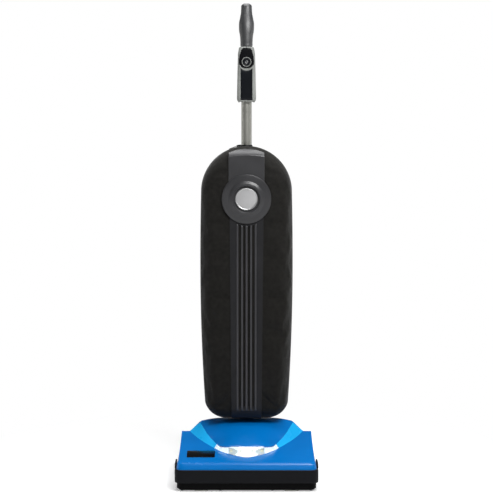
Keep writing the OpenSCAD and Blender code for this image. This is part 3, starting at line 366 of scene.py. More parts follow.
def painted_glow(made, code, strength):
    """Painted glow: a faint even light of its own, which stands in for the light on a lit reflector."""
    shader = made.node_tree.nodes["Principled BSDF"]
    shader.inputs["Emission Color"].default_value = lin(code)
    shader.inputs["Emission Strength"].default_value = strength


MATERIALS = {}


def make_materials(finish):
    """All finishes, by the record's slot names."""
    m = MATERIALS
    m["casing_black"] = moulded("abs_black_grained", finish.casing, specular=0.16)
    m["chassis_black"] = moulded("abs_black_chassis", lin("#070708"), roughness=0.5, specular=0.07)
    m["hood_blue"] = glossy("abs_blue_lacquered", finish.hood, roughness=0.24, coat=0.0, specular=0.3)
    # Lighter copy of the hood's blue for the band: painted light.
    m["hood_band"] = glossy("abs_band_blue_lacquered", finish.band, roughness=0.3, coat=0.0, specular=0.12)
    m["bumper_rubber"] = rubber("elastomer_bumper", lin("#121317"), roughness=0.5, specular=0.12)
    m["gloss_black"] = glossy("abs_gloss_black", lin("#0b0c0e"), roughness=0.2, coat=0.0)
    m["lens_clear"] = clear("polycarbonate_clear", lin("#f8fdff"))
    m["reflector"] = glossy("reflector_white", lin("#f4f8fb"), roughness=0.25)
    # The white reflector glows faintly as painted light, though it is no lamp.
    painted_glow(m["reflector"], "#e8f6ff", 0.6)
    m["led_lens"] = glossy("led_resin", lin("#fff1c8"), roughness=0.3)
    m["circuit_board"] = moulded("circuit_board_white_mask", lin("#dfe2dd"), grain_mm=1.5)
    m["bag_fabric"] = woven("polyester_woven_black", finish.fabric, finish.weave)
    m["zip_black"] = woven("zip_tape_woven", lin("#080808"), 0.0011)
    m["zip_teeth"] = moulded("zip_coil_nylon", lin("#080808"), roughness=0.4, specular=0.12)
    m["piping"] = rubber("piping_vinyl", lin("#050505"), roughness=0.5, grain_mm=2.5, specular=0.08)
    m["thread"] = rubber("polyester_thread", lin("#3a3937"), roughness=0.7, grain_mm=0.4)
    m["spine_grey"] = moulded("abs_spine_grey", finish.spine, roughness=0.34, grain_mm=0.8, specular=0.5)
    # Lower spine: a rougher, less glossy copy of the spine plastic, also darker as painted shade. Rib tops: a
    # lighter copy, as painted highlight.
    m["spine_painted_shade_matt"] = moulded("abs_spine_matt", shade(finish.spine, 0.68), roughness=0.5, grain_mm=0.8, specular=0.1)
    m["spine_painted_highlight_rib"] = moulded("abs_spine_rib", shade(finish.spine, 1.5), roughness=0.34, grain_mm=0.8, specular=0.35)
    m["medallion_silver"] = metal("zinc_cast_satin", finish.medallion, 0.5, spacing_mm=2.2, depth_mm=0.22)
    m["tube_metal"] = metal("steel_tube_satin", finish.tube, 0.46, brush_axis=2)
    m["shell_silver"] = moulded("abs_silver_painted", finish.silver, roughness=0.34, grain_mm=0.6, depth_mm=0.02)
    m["panel_black"] = glossy("abs_panel_black", lin("#0b0e13"), roughness=0.3)
    m["grip_black"] = rubber("elastomer_grip", lin("#232426"), roughness=0.46, grain_mm=1.6, specular=0.9)
    m["plated_steel"] = metal("steel_zinc_plated", lin("#b4b6ba"), 0.3)
    # Dark steel for the sole plate: painted shade under the floor head.
    m["black_steel"] = metal("steel_black_zinc", lin("#1c1d1f"), 0.42)
    m["screw_steel"] = metal("steel_screw", lin("#8d9094"), 0.28)
    m["glide_plastic"] = moulded("polyethylene_pad", lin("#c9c9c2"), roughness=0.5)
    m["motor_steel"] = metal("steel_motor_can", lin("#8a8d92"), 0.33, brush_axis=0)
    m["bearing_steel"] = metal("steel_ground", lin("#c6c8cc"), 0.18)
    m["belt_rubber"] = rubber("belt_rubber", lin("#0d0d0d"))
    m["brush_plastic"] = moulded("nylon_brush_core", lin("#222326"), roughness=0.45)
    m["bristle"] = moulded("nylon_bristle", lin("#0b0b0b"), roughness=0.38)
    m["winding_copper"] = metal("copper_enamelled", lin("#a5542a"), 0.3, spacing_mm=1.0)
    m["pulley_alloy"] = metal("aluminium_turned", lin("#a2a5a8"), 0.3, brush_axis=0)
    m["fan_plastic"] = moulded("glass_nylon_fan", lin("#3f4246"), roughness=0.5)
    m["wheel_plastic"] = moulded("abs_wheel_hub", lin("#2c2e31"), roughness=0.4)
    m["wheel_tread"] = rubber("elastomer_tyre", lin("#131313"))
    m["dock_plastic"] = moulded("abs_dock", lin("#26282b"), roughness=0.45)
    m["bag_paper"] = moulded("paper_filter", lin("#d8cbb0"), roughness=0.85, grain_mm=2.0, depth_mm=0.12)
    m["collar_card"] = moulded("card_collar", lin("#b89f74"), roughness=0.8, grain_mm=1.2)
    m["lead_jacket"] = rubber("lead_jacket", lin("#101010"), roughness=0.5)
    m["lining"] = woven("lining_woven_grey", lin("#3b3c3e"), 0.0014)


# ------------------------------------------------------------------ mesh tools


def new_mesh(name, points_mm, faces):
    """Mesh from points in millimetres."""
    mesh = bpy.data.meshes.new(name)
    mesh.from_pydata([Vector(p) * MM for p in points_mm], [], faces)
    return mesh


def new_object(name, mesh):
    """Object in the scene, at the origin."""
    obj = bpy.data.objects.new(name, mesh)
    bpy.context.scene.collection.objects.link(obj)
    return obj


def grid_faces(rows, columns, closed=False, start=0):
    """Quads between rows of points, each row closed or open."""
    span = columns if closed else columns - 1
    return [
        (
            start + r * columns + c,
            start + r * columns + (c + 1) % columns,
            start + (r + 1) * columns + (c + 1) % columns,
            start + (r + 1) * columns + c,
        )
        for r in range(rows - 1)
        for c in range(span)
    ]


@contextmanager
def edited(mesh):
    """The mesh as a bmesh, which is written back at the end."""
    bm = bmesh.new()
    bm.from_mesh(mesh)
    yield bm
    bm.to_mesh(mesh)
    bm.free()


def weld(mesh, distance_mm=0.02, outward=True):
    """Merges doubles, drops degenerate faces and points the faces outwards."""
    with edited(mesh) as bm:
        bmesh.ops.remove_doubles(bm, verts=bm.verts, dist=distance_mm * MM)
        bmesh.ops.dissolve_degenerate(bm, edges=bm.edges, dist=distance_mm * MM * 0.5)
        if outward:
            bmesh.ops.recalc_face_normals(bm, faces=bm.faces)
    return mesh


def face_way(obj, way):
    """Turns an open skin so that on the whole its faces look along Y: forwards for -1, backwards for 1."""
    if sum(p.normal.y * p.area for p in obj.data.polygons) * way < 0:
        obj.data.flip_normals()


def sharp_bevel(obj, width_mm, segments, angle):
    """Rounds the edges that are sharper than the angle."""
    limit = math.radians(angle)
    return modify(obj, "BEVEL", width=width_mm * MM, segments=segments, limit_method="ANGLE", angle_limit=limit)


def modify(obj, kind, **settings):
    """Adds a modifier and applies it."""
    modifier = obj.modifiers.new(kind.lower(), kind)
    for key, value in settings.items():
        setattr(modifier, key, value)
    graph = bpy.context.evaluated_depsgraph_get()
    graph.update()
    mesh = bpy.data.meshes.new_from_object(obj.evaluated_get(graph), depsgraph=graph)
    old = obj.data
    obj.modifiers.clear()
    obj.data = mesh
    mesh.name = old.name
    if old.users == 0:
        bpy.data.meshes.remove(old)
    return obj


def smooth(obj, angle=35):
    """Shades smooth, and keeps edges over the angle sharp."""
    obj.data.shade_smooth()
    obj.data.set_sharp_from_angle(angle=math.radians(angle))
    return obj


def join(name, objects):
    """Joins meshes into one object. The material slots of each stay."""
    mesh = bpy.data.meshes.new(name)
    bm = bmesh.new()
    slots = []
    for obj in objects:
        part = obj.data
        found = []
        for material in part.materials:
            if material not in slots:
                slots.append(material)
            found.append(slots.index(material))
        first = len(bm.faces)
        bm.from_mesh(part)
        bm.faces.ensure_lookup_table()
        for face in bm.faces[first:]:
            if found:
                face.material_index = found[min(face.material_index, len(found) - 1)]
    bm.to_mesh(mesh)
    bm.free()
    for material in slots:
        mesh.materials.append(material)
    for obj in objects:
        bpy.data.objects.remove(obj)
    return new_object(name, mesh)


def piece(obj, body, slot, *nodes, material=None):
    """Dresses a finished piece: the material of its slot or the named one, unless it has one already, its body, and
    hides the nodes that it stands for.
    """
    if not obj.data.materials:
        obj.data.materials.append(MATERIALS[material or slot])
    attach(obj, body)
    if nodes:
        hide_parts(*nodes)
    return obj


def copy_of(node, name):
    """Welded copy of a CAD node, with its flat faces joined up."""
    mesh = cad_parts[node].data.copy()
    mesh.materials.clear()
    with edited(mesh) as bm:
        bmesh.ops.remove_doubles(bm, verts=bm.verts, dist=0.004 * MM)
        bmesh.ops.dissolve_limit(bm, angle_limit=math.radians(0.6), verts=bm.verts, edges=bm.edges)
    return new_object(name, mesh)


def softened(node, name, body, slot, width_mm=0.8, segments=2, angle=28, material=None):
    """Copy of a CAD node whose sharp edges are rounded, as moulded and turned edges are."""
    obj = copy_of(node, name)
    modify(
        obj,
        "BEVEL",
        width=width_mm * MM,
        segments=segments,
        limit_method="ANGLE",
        angle_limit=math.radians(angle),
        harden_normals=False,
        use_clamp_overlap=True,
        miter_outer="MITER_ARC",
    )
    smooth(obj, 40)
    return piece(obj, body, slot, node, material=material)


def lathe(name, profile, centre, axis, steps=96):
    """Solid of revolution. The profile is a list of (radius, height along the axis), in millimetres."""
    points = []
    for k in range(steps):
        a = math.radians(360.0 * k / steps)
        for r, h in profile:
            u, v = r * math.cos(a), r * math.sin(a)
            if axis == "x":
                points.append((centre[0] + h, centre[1] + u, centre[2] + v))
            elif axis == "y":
                points.append((centre[0] + u, centre[1] + h, centre[2] + v))
            else:
                points.append((centre[0] + u, centre[1] + v, centre[2] + h))
    n = len(profile)
    faces = []
    for k in range(steps):
        for i in range(n - 1):
            a, b = k * n + i, ((k + 1) % steps) * n + i
            faces.append((a, b, b + 1, a + 1))
    obj = new_object(name, weld(new_mesh(name, points, faces)))
    return smooth(obj)


def sweep_tube(name, path_mm, radius_mm, sides=12, closed=False, squash_mm=None):
    """Round tube along a path."""
    points = [Vector(p) for p in path_mm]
    n = len(points)
    rings = []
    normal = None
    for i, p in enumerate(points):
        ahead = points[(i + 1) % n] if closed or i < n - 1 else p
        behind = points[i - 1] if closed or i > 0 else p
        tangent = (ahead - behind).normalized()
        if normal is None:
            guess = Vector((0, 1, 0)) if abs(tangent.y) < 0.9 else Vector((0, 0, 1))
            normal = (guess - tangent * guess.dot(tangent)).normalized()
        else:
            normal = (normal - tangent * normal.dot(tangent)).normalized()
        side = tangent.cross(normal)
        for k in range(sides):
            a = 2 * math.pi * k / sides
            rings.append(
                p + normal * (math.cos(a) * radius_mm) + side * (math.sin(a) * (squash_mm or radius_mm))
            )
    faces = grid_faces(n, sides, closed=True)
    if closed:
        last = (n - 1) * sides
        faces += [(last + k, last + (k + 1) % sides, (k + 1) % sides, k) for k in range(sides)]
    else:
        faces.append(tuple(range(sides)))
        faces.append(tuple((n - 1) * sides + k for k in range(sides)))
    obj = new_object(name, weld(new_mesh(name, rings, faces)))
    return smooth(obj, 50)


# ------------------------------------------------------------------ repeats on a path


REPEAT_INPUTS = (
    ("Path", "Geometry"),
    ("Unit", "Object"),
    ("Spacing", "Float"),
    ("Smallest", "Float"),
    ("Seed", "Int"),
    ("Material", "Material"),
)


def repeat_tree():
    """Geometry Nodes: one unit at even steps along a path, turned by the path's tangent and its aim."""
    tree = bpy.data.node_groups.new("repeat_on_path", "GeometryNodeTree")
    for name, kind in REPEAT_INPUTS:
        tree.interface.new_socket(name, in_out="INPUT", socket_type="NodeSocket" + kind)
    tree.interface.new_socket("Geometry", in_out="OUTPUT", socket_type="NodeSocketGeometry")
    given = add(tree, "NodeGroupInput").outputs
    curve = add(tree, "GeometryNodeMeshToCurve", {"Mesh": given["Path"]}).outputs["Curve"]
    steps = add(tree, "GeometryNodeResampleCurve", {"Curve": curve, "Length": given["Spacing"]}, mode="LENGTH")
    aim = add(tree, "GeometryNodeInputNamedAttribute", {"Name": "aim"}, data_type="FLOAT_VECTOR")
    up = add(tree, "FunctionNodeAlignRotationToVector", {"Vector": aim.outputs["Attribute"]}, axis="Z")
    turned = add(
        tree,
        "FunctionNodeAlignRotationToVector",
        {"Rotation": up.outputs["Rotation"], "Vector": add(tree, "GeometryNodeInputTangent").outputs["Tangent"]},
        axis="X",
        pivot_axis="Z",
    )
    span = {2: given["Smallest"], 3: 1.0, "Seed": given["Seed"]}
    size = add(tree, "FunctionNodeRandomValue", span, data_type="FLOAT")
    unit = add(tree, "GeometryNodeObjectInfo", {"Object": given["Unit"], "As Instance": True})
    placed = add(
        tree,
        "GeometryNodeInstanceOnPoints",
        {
            "Points": steps.outputs["Curve"],
            "Instance": unit.outputs["Geometry"],
            "Rotation": turned.outputs["Rotation"],
            "Scale": size.outputs[1],
        },
    )
    real = add(tree, "GeometryNodeRealizeInstances", {"Geometry": placed.outputs["Instances"]})
    made = add(
        tree, "GeometryNodeSetMaterial", {"Geometry": real.outputs["Geometry"], "Material": given["Material"]}
    )
    add(tree, "NodeGroupOutput", {"Geometry": made.outputs["Geometry"]})
    return tree


def repeat(name, path_mm, aims, unit, spacing_mm, material, closed=True, smallest=1.0, seed=1):
    """Plain mesh of a unit repeated along a path. The aims are the directions of the unit's Z."""
    count = len(path_mm)
    edges = [(k, (k + 1) % count) for k in range(count if closed else count - 1)]
    mesh = bpy.data.meshes.new(name)
    mesh.from_pydata([Vector(p) * MM for p in path_mm], edges, [])
    layer = mesh.attributes.new("aim", "FLOAT_VECTOR", "POINT")
    for k, aim in enumerate(aims):
        layer.data[k].vector = aim
    path = new_object(name + "_path", mesh)
    tree = bpy.data.node_groups.get("repeat_on_path") or repeat_tree()
    modifier = path.modifiers.new("repeat", "NODES")
    modifier.node_group = tree
    values = {
        "Unit": unit,
        "Spacing": spacing_mm * MM,
        "Smallest": smallest,
        "Seed": seed,
        "Material": MATERIALS[material],
    }
    for item in tree.interface.items_tree:
        if item.in_out == "INPUT" and item.name in values:
            modifier[item.identifier] = values[item.name]
    graph = bpy.context.evaluated_depsgraph_get()
    graph.update()
    made = bpy.data.meshes.new_from_object(path.evaluated_get(graph), depsgraph=graph)
    made.name = name
    bpy.data.objects.remove(path)
    bpy.data.objects.remove(unit)
    if not made.polygons:
        raise RuntimeError(f"{name}: the path made no copies")
    return new_object(name, made)


# Rings of a small rounded bar: shares of its half length and of its half width
BEAD_RINGS = ((-1.0, 0.35), (-0.6, 0.9), (0.6, 0.9), (1.0, 0.35))


def bead(name, half, sides=6):
    """Small rounded bar along X: half is its half length, half width and half height."""
    turns = [2 * math.pi * k / sides for k in range(sides)]
    rows = [
        [(half[0] * along, half[1] * across * math.cos(a), half[2] * across * math.sin(a)) for a in turns]
        for along, across in BEAD_RINGS
    ]
    return loft(name, rows, closed=True, caps=True)


def loft(name, rows, closed=False, caps=False, outward=True):
    """Skin through rows of points. Every row has as many points."""
    columns = len(rows[0])
    points = [p for row in rows for p in row]
    faces = grid_faces(len(rows), columns, closed)
    if caps:
        faces.append(tuple(range(columns)))
        faces.append(tuple(len(points) - 1 - k for k in range(columns)))
    return new_object(name, weld(new_mesh(name, points, faces), 0.004, outward))


def smooth_step(t):
    """Smooth ramp from 0 to 1."""
    t = min(max(t, 0.0), 1.0)
    return t * t * (3 - 2 * t)


def through(rings, count):
    """Smooth rows between given rings, whose first value is the place along the piece."""
    data = np.array(rings, float)
    t, v = data[:, 0], data[:, 1:]
    slope = np.gradient(v, t, axis=0)
    rows = []
    for s in np.linspace(t[0], t[-1], count):
        i = min(int(np.searchsorted(t, s, side="right")) - 1, len(t) - 2)
        h = t[i + 1] - t[i]
        u = (s - t[i]) / h
        a, b = 2 * u**3 - 3 * u**2 + 1, u**3 - 2 * u**2 + u
        c, d = -2 * u**3 + 3 * u**2, u**3 - u**2
        rows.append((s, *(a * v[i] + b * h * slope[i] + c * v[i + 1] + d * h * slope[i + 1])))
    return rows


# ------------------------------------------------------------------ body outline


def side_half(z):
    """Half width of the body at a height between its lower corners and its dome."""
    if z > BELLY_Z:
        return BODY_HALF - (BODY_HALF - DOME_R) * ((z - BELLY_Z) / (DOME_Z - BELLY_Z)) ** 2
    return BODY_HALF - (BODY_HALF - FOOT_HALF) * ((BELLY_Z - z) / (BELLY_Z - CORNER_Z)) ** 2


def body_outline(inset, dome_steps=60, side_steps=56, corner_steps=12, foot_steps=8):
    """Closed front outline of the body, drawn in by inset: the dome, then down one side and up the other."""
    points = []
    for k in range(dome_steps):
        a = math.pi * k / dome_steps
        points.append(((DOME_R - inset) * math.cos(a), DOME_Z + (DOME_R - inset) * math.sin(a)))
    for k in range(side_steps):
        z = DOME_Z + (CORNER_Z - DOME_Z) * k / side_steps
        points.append((inset - side_half(z), z))
    middle = FOOT_HALF - CORNER_W
    for centre, first, between in ((-middle, 1, foot_steps), (middle, 1.5, 0)):
        for k in range(corner_steps):
            a = math.pi * (first + 0.5 * k / corner_steps)
            points.append((centre + (CORNER_W - inset) * math.cos(a), CORNER_Z + (CORNER_H - inset) * math.sin(a)))
        for k in range(between):
            points.append((-middle + 2 * middle * k / foot_steps, BODY_BOTTOM + inset))
    for k in range(side_steps):
        z = CORNER_Z + (DOME_Z - CORNER_Z) * k / side_steps
        points.append((side_half(z) - inset, z))
    return points


def spine_of(z):
    """Point on the middle line that an outline point at height z is drawn towards."""
    return min(max(z, CORNER_Z + 60), DOME_Z)


OUTLINE = np.array(body_outline(0.0))


def rim_distance(x, z):
    """Distance of a point in front view from the outline of the body."""
    steps = np.roll(OUTLINE, -1, axis=0) - OUTLINE
    p = np.array([x, z])
    t = np.clip(((p - OUTLINE) * steps).sum(1) / (steps * steps).sum(1), 0, 1)
    return float(np.sqrt(((OUTLINE + steps * t[:, None] - p) ** 2).sum(1)).min())


def pillow_depth(distance, rim_y, face_y, rounding, inset):
    """Depth of a pillow-shaped shell half at a distance from the outline."""
    share = min(max((distance - inset) / rounding, 0.0), 1.0)
    return rim_y + (face_y - rim_y) * math.sqrt(1 - (1 - share) ** 2)


def pillow(name, rim_y, face_y, rounding, inset, rim_rings, inner_rings, crown=0.0):
    """Half shell of the body: rounded from its rim to its face, with a UV map laid out like its cut cloth."""
    outline = body_outline(inset)
    inner = body_outline(inset + rounding)
    way = 1 if face_y > rim_y else -1
    rows, cloth = [], []
    for k in range(rim_rings + 1):
        t = 0.5 * math.pi * k / rim_rings
        d = rounding * (1 - math.cos(t))
        y = rim_y + (face_y - rim_y) * math.sin(t)
        run = (1 - t / (0.5 * math.pi)) * 0.5 * (rounding + abs(face_y - rim_y)) * 1.12
        rows.append([(x, y, z) for x, z in body_outline(inset + d)])
        for (xo, zo), (xi, zi) in zip(outline, inner):
            away = Vector((xo - xi, zo - zi)).normalized()
            cloth.append((xi + away.x * run, zi + away.y * run))
    face = rows[-1]
    for k in range(1, inner_rings + 1):
        s = k / inner_rings
        ring = []
        for x, y, z in face:
            px, pz = x * (1 - s), z + (spine_of(z) - z) * s
            ring.append((px, y + way * crown * math.sin(math.pi * s), pz))
            cloth.append((px, pz))
        rows.append(ring)
    points = [p for row in rows for p in row]
    mesh = new_mesh(name, points, grid_faces(len(rows), len(outline), closed=True))
    layer = mesh.uv_layers.new(name="cloth")
    for loop in mesh.loops:
        u, v = cloth[loop.vertex_index]
        layer.data[loop.index].uv = (u * MM, v * MM)
    return new_object(name, weld(mesh, outward=False))


# ------------------------------------------------------------------ hood and lens


def deck_z(y):
    """Height of the low deck of the hood."""
    return CREASE_Z + DECK_SLOPE * (y - CREASE_Y)


DOME_FRONT_Z = 92.3  # height of the dome's edge at the middle of the front

# Plan of the band's outer edge, and plan and height of the edge between the band and the dome
BAND_OUTER = (
    (-18, -91), (0, -97), (18, -91), (35, -80.5), (56, -64),
    (77, -39), (95, -12.5), (113, 16), (128, 46), (138.5, HEAD_REAR),
)
BAND_INNER = (
    (-28.4, -71.0, 91.4), (0, -74.6, DOME_FRONT_Z), (28.4, -71.0, 91.4), (50, -65.5, 90.2),
    (66, -48.0, 89.0), (72.4, -27.5, 88.6), (79, -10.0, 91.5), (88.6, 7.0, 97.5),
    (97, 24.0, 104.5), (106.2, 50.0, 113.0), (114, HEAD_REAR, 119.6),
)
OUTER_EDGE = np.array(through(BAND_OUTER, 240))
INNER_EDGE = np.array(through(BAND_INNER, 240))
BAND_HALF = float(OUTER_EDGE[-1, 0])
DOME_HALF = float(INNER_EDGE[-1, 0])
LENS_TOP_HALF = 71.0
LENS_SHARE = LENS_HALF / BAND_HALF
DOME_FRONT = float(INNER_EDGE[:, 1].min())


def band_outer(x):
    """Plan of the outer edge of the curved band."""
    return float(np.interp(abs(x), OUTER_EDGE[:, 0], OUTER_EDGE[:, 1]))


def band_inner(x):
    """Plan of the edge between the band and the dome."""
    return float(np.interp(abs(x), INNER_EDGE[:, 0], INNER_EDGE[:, 1]))


def band_inner_z(x):
    """Height of the edge between the band and the dome."""
    return float(np.interp(abs(x), INNER_EDGE[:, 0], INNER_EDGE[:, 2]))


def dome_z(x, y):
    """Height of the dome: an arch at every depth, from its edge up to the crown."""
    xs, ys, zs = INNER_EDGE[INNER_EDGE[:, 0] >= 0].T
    half = max(float(np.interp(y, ys, xs)), 1e-6)
    edge = float(np.interp(y, ys, zs))
    u = min(max((y - DOME_FRONT) / (HEAD_REAR - DOME_FRONT), 0.0), 1.0)
    crown = DOME_FRONT_Z + (DOME_TOP_Z - DOME_FRONT_Z) * math.sin(0.5 * math.pi * u**0.9)
    rise = max(0.0, 1 - min(1.0, abs(x / half)) ** (2 + u * u)) ** (1 - 0.35 * u * u)
    return edge + (crown - edge) * rise


def band_row(k, rows):
    """Points across the band, from the deck to the dome, at a share k of its half length."""
    xo = BAND_HALF * k
    xi = math.copysign(float(np.interp(abs(k), (0, LENS_SHARE, 1), (0, LENS_TOP_HALF, DOME_HALF))), k)
    outer = Vector((xo, band_outer(xo), 0))
    outer.z = deck_z(outer.y)
    inner = Vector((xi, band_inner(xi), band_inner_z(xi)))
    return [outer.lerp(inner, j / rows) for j in range(rows + 1)]


def head_outline(half, front, rear, corner, k, steps):
    """Point on a U-shaped outline of the floor head: rear left, front, rear right."""
    side = rear - front - corner
    bend = 0.5 * math.pi * corner
    across = 2 * (half - corner)
    total = 2 * side + 2 * bend + across
    s = total * k / steps
    if s < side:
        return (-half, rear - s)
    s -= side
    if s < bend:
        a = s / corner
        return (-half + corner * (1 - math.cos(a)), front + corner - corner * math.sin(a))
    s -= bend
    if s < across:
        return (-half + corner + s, front)
    s -= across
    if s < bend:
        a = s / corner
        return (half - corner + corner * math.sin(a), front + corner * (1 - math.cos(a)))
    s -= bend
    return (half, front + corner + s)


def hood_skin():
    """Outer skin of the hood: deck with its walls, band (field 1) and dome."""
    steps, deck_rows, band_rows, dome_rows = 144, 6, 5, 22
    front = HOOD_LO.y
    levels = [
        (HOOD_HALF, front, 13.0, 51.0),
        (HOOD_HALF - 0.2, front + 0.4, 13.0, 53.5),
        (HOOD_HALF - 1.4, front + 4.0, 13.0, 61.0),
        (HOOD_HALF - 2.2, front + 6.0, 13.0, CREASE_Z - 2.0),
    ]
    rows = [
        [Vector((*head_outline(half, y0, HEAD_REAR, corner, k, steps), z)) for k in range(steps + 1)]
        for half, y0, corner, z in levels
    ]
    top = []
    for k in range(steps + 1):
        x, y = head_outline(HOOD_HALF - 5, CREASE_Y + 1.2, HEAD_REAR, 14.0, k, steps)
        top.append(Vector((x, y, deck_z(y))))
    rows.append(top)
    inner = [band_row(2 * k / steps - 1, 1)[0] for k in range(steps + 1)]
    for j in range(1, deck_rows + 1):
        rows.append([a.lerp(b, j / deck_rows) for a, b in zip(top, inner)])
    points = [p for row in rows for p in row]
    faces = grid_faces(len(rows), steps + 1)
    fields = [0] * len(faces)
    band = [band_row(2 * k / steps - 1, band_rows) for k in range(steps + 1)]
    start = len(points)
    points += [p for row in band for p in row]
    for k in range(steps):
        middle = abs((2 * k + 1) / steps - 1)
        if middle < LENS_SHARE:
            continue
        for j in range(band_rows):
            a = start + k * (band_rows + 1) + j
            faces.append((a, a + 1, a + band_rows + 2, a + band_rows + 1))
            fields.append(1)
    start = len(points)
    for k in range(steps + 1):
        x = DOME_HALF * (2 * k / steps - 1)
        y0 = min(band_inner(x), HEAD_REAR)
        points.append(Vector((x, y0, band_inner_z(x))))
        for j in range(1, dome_rows + 1):
            y = y0 + (HEAD_REAR - y0) * (j / dome_rows) ** 2
            points.append(Vector((x, y, dome_z(x, y))))
    dome = grid_faces(steps + 1, dome_rows + 1, start=start)
    return points, faces + dome, fields + [0] * len(dome)


def build_hood():
    """Hood with a lighter blue on its band as painted light: a skin over the front and top, and the CAD's own rear
    wall.
    """
    points, faces, fields = hood_skin()
    mesh = new_mesh("hood_skin", points, faces)
    mesh.materials.append(MATERIALS["hood_blue"])
    mesh.materials.append(MATERIALS["hood_band"])
    mesh.polygons.foreach_set("material_index", fields)
    weld(mesh, 0.05)
    skin = new_object("hood_skin", mesh)
    face = max(skin.data.polygons, key=lambda p: p.center.z)
    if face.normal.z < 0:
        skin.data.flip_normals()
    modify(skin, "SOLIDIFY", thickness=HOOD_WALL * MM, offset=-1.0, use_even_offset=False)
    sharp_bevel(skin, 1.4, 3, 20)
    smooth(skin, 50)
    rear = copy_of("hood", "hood_rear")
    with edited(rear.data) as bm:
        front = [f for f in bm.faces if f.calc_center_median().y < (HEAD_REAR - HOOD_WALL - 0.3) * MM]
        bmesh.ops.delete(bm, geom=front, context="FACES")
    rear.data.materials.append(MATERIALS["hood_blue"])
    smooth(rear, 30)
    hood = join("top_hood", [skin, rear])
    piece(hood, "base", "hood_blue", "hood")


def lens_sheet(name, points, steps, rows, thickness_mm):
    """Sheet of the headlight that faces forwards, thickened towards the rear."""
    sheet = new_object(name, weld(new_mesh(name, points, grid_faces(steps + 1, rows + 1))))
    if sheet.data.polygons[0].normal.y > 0:
        sheet.data.flip_normals()
    return modify(sheet, "SOLIDIFY", thickness=thickness_mm * MM, offset=-1.0)


def build_lens():
    """Clear lens in the gap of the band, over a white reflector."""
    steps, rows = 56, 6
    out = Vector((0, -1, 0.9)).normalized()
    proud, gap, depth, side_gap = 0.3, 3.4, 26, 0.996
    points, tray = [], []
    for k in range(steps + 1):
        line = band_row((2 * k / steps - 1) * (LENS_SHARE * side_gap), rows)
        back = depth * (1 - (k / steps * 2 - 1) ** 2) ** 0.5
        for j, p in enumerate(line):
            points.append(p + out * proud)
            tray.append(p - out * (gap + 0.55 * (back * math.sin(math.pi * (j / rows)) ** 0.6)))
    lens = lens_sheet("headlight_cover", points, steps, rows, 2.2)
    sharp_bevel(lens, 0.6, 2, 40)
    smooth(lens, 45)
    piece(lens, "base", "lens_clear", "headlight_lens")
    dish = lens_sheet("headlight_reflector", tray, steps, rows, 1.0)
    smooth(dish, 60)
    piece(dish, "base", "led_lens", material="reflector")
    softened("headlight_board", "headlight_circuit", "base", "circuit_board", 0.3)
    softened("headlight_leds", "headlight_diodes", "base", "led_lens", 0.5)


# ------------------------------------------------------------------ cover


CLOTH = {
    "quality": 6,
    "mass": 0.25,
    "tension_stiffness": 20,
    "compression_stiffness": 20,
    "bending_stiffness": 8,
    "shrink_min": -0.012,  # cut a little larger than its frame
    "use_pressure": True,
    "uniform_pressure_force": 4,
}
SETTLE_FRAMES = 20


def settle(obj, held, limit_mm):
    """Lets a fabric skin settle under a slight air pressure with a little slack, and keeps the result."""
    group = obj.vertex_groups.new(name="held")
    for v in obj.data.vertices:
        group.add([v.index], held(*(v.co / MM)), "REPLACE")
    before = np.array([v.co[:] for v in obj.data.vertices])
    cloth = obj.modifiers.new("cloth", "CLOTH")
    cloth.settings.vertex_group_mass = "held"
    for key, value in CLOTH.items():
        setattr(cloth.settings, key, value)
    cloth.settings.effector_weights.gravity = 0
    cloth.collision_settings.use_collision = False
    cloth.point_cache.frame_start = 1
    cloth.point_cache.frame_end = SETTLE_FRAMES
    for frame_number in range(1, SETTLE_FRAMES + 1):
        bpy.context.scene.frame_set(frame_number)
    graph = bpy.context.evaluated_depsgraph_get()
    after = np.array([v.co[:] for v in obj.evaluated_get(graph).data.vertices])
    obj.modifiers.clear()
    obj.vertex_groups.clear()
    bpy.context.scene.frame_set(1)
    move = after - before
    far = np.linalg.norm(move, axis=1, keepdims=True)
    limit = limit_mm * MM
    move *= np.minimum(1.0, limit * np.tanh(far / limit) / np.maximum(far, 1e-9))
    obj.data.vertices.foreach_set("co", (before + move).ravel())
    obj.data.update()


def held_cover(x, y, z):
    """How firmly the cover is held: sewn at its rim, and clamped under the spine and its boss."""
    rim = 1 - smooth_step((rim_distance(x, z) - 2.0) / 3.0) if y > COVER_HI.y - 16 else 0.0
    spine = 1 - smooth_step((abs(x) - spine_half(z) - 1) / 9)
    boss = 1 - smooth_step((math.hypot(x, z - BOSS_Z) - BOSS_R - 1) / 9)
    return max(rim, spine, boss)


SEAM_RING = 9  # ring of the cover's mesh, counted from its rim, that carries the stitches


def build_cover(sizes):
    """Woven cover with its lining, its welt and its seams."""
    rim, face = COVER_HI.y, COVER_LO.y
    cover = pillow("fabric_cover", rim, face, sizes.cover_round / MM, 0.6, 20, 22, sizes.crown / MM)
    face_way(cover, -1)
    settle(cover, held_cover, sizes.slack / MM)
    ring = len(OUTLINE)
    seam = [cover.data.vertices[SEAM_RING * ring + k] for k in range(ring)]
    path = [tuple(v.co / MM + v.normal * 0.15) for v in seam]
    stitch = bead("stitch", (1.5, 0.34, 0.3))
    stitches = repeat("cover_stitching", path, [tuple(v.normal) for v in seam], stitch, 4.0, "thread")
    smooth(stitches, 60)
    piece(stitches, "cover", "bag_fabric", material="thread")
    cover.data.materials.append(MATERIALS["bag_fabric"])
    cover.data.materials.append(MATERIALS["lining"])
    modify(cover, "SOLIDIFY", thickness=2.4 * MM, offset=-1.0, material_offset=1, material_offset_rim=0)
    smooth(cover, 60)
    piece(cover, "cover", "bag_fabric", "outer_bag")
    welt = sizes.piping / MM
    path = [(x, rim - 0.2, z) for x, z in body_outline(welt - 0.1, 96, 60, 18, 10)]
    piping = sweep_tube("cover_piping", path, welt, sides=12, closed=True)
    piece(piping, "cover", "bag_fabric", material="piping")


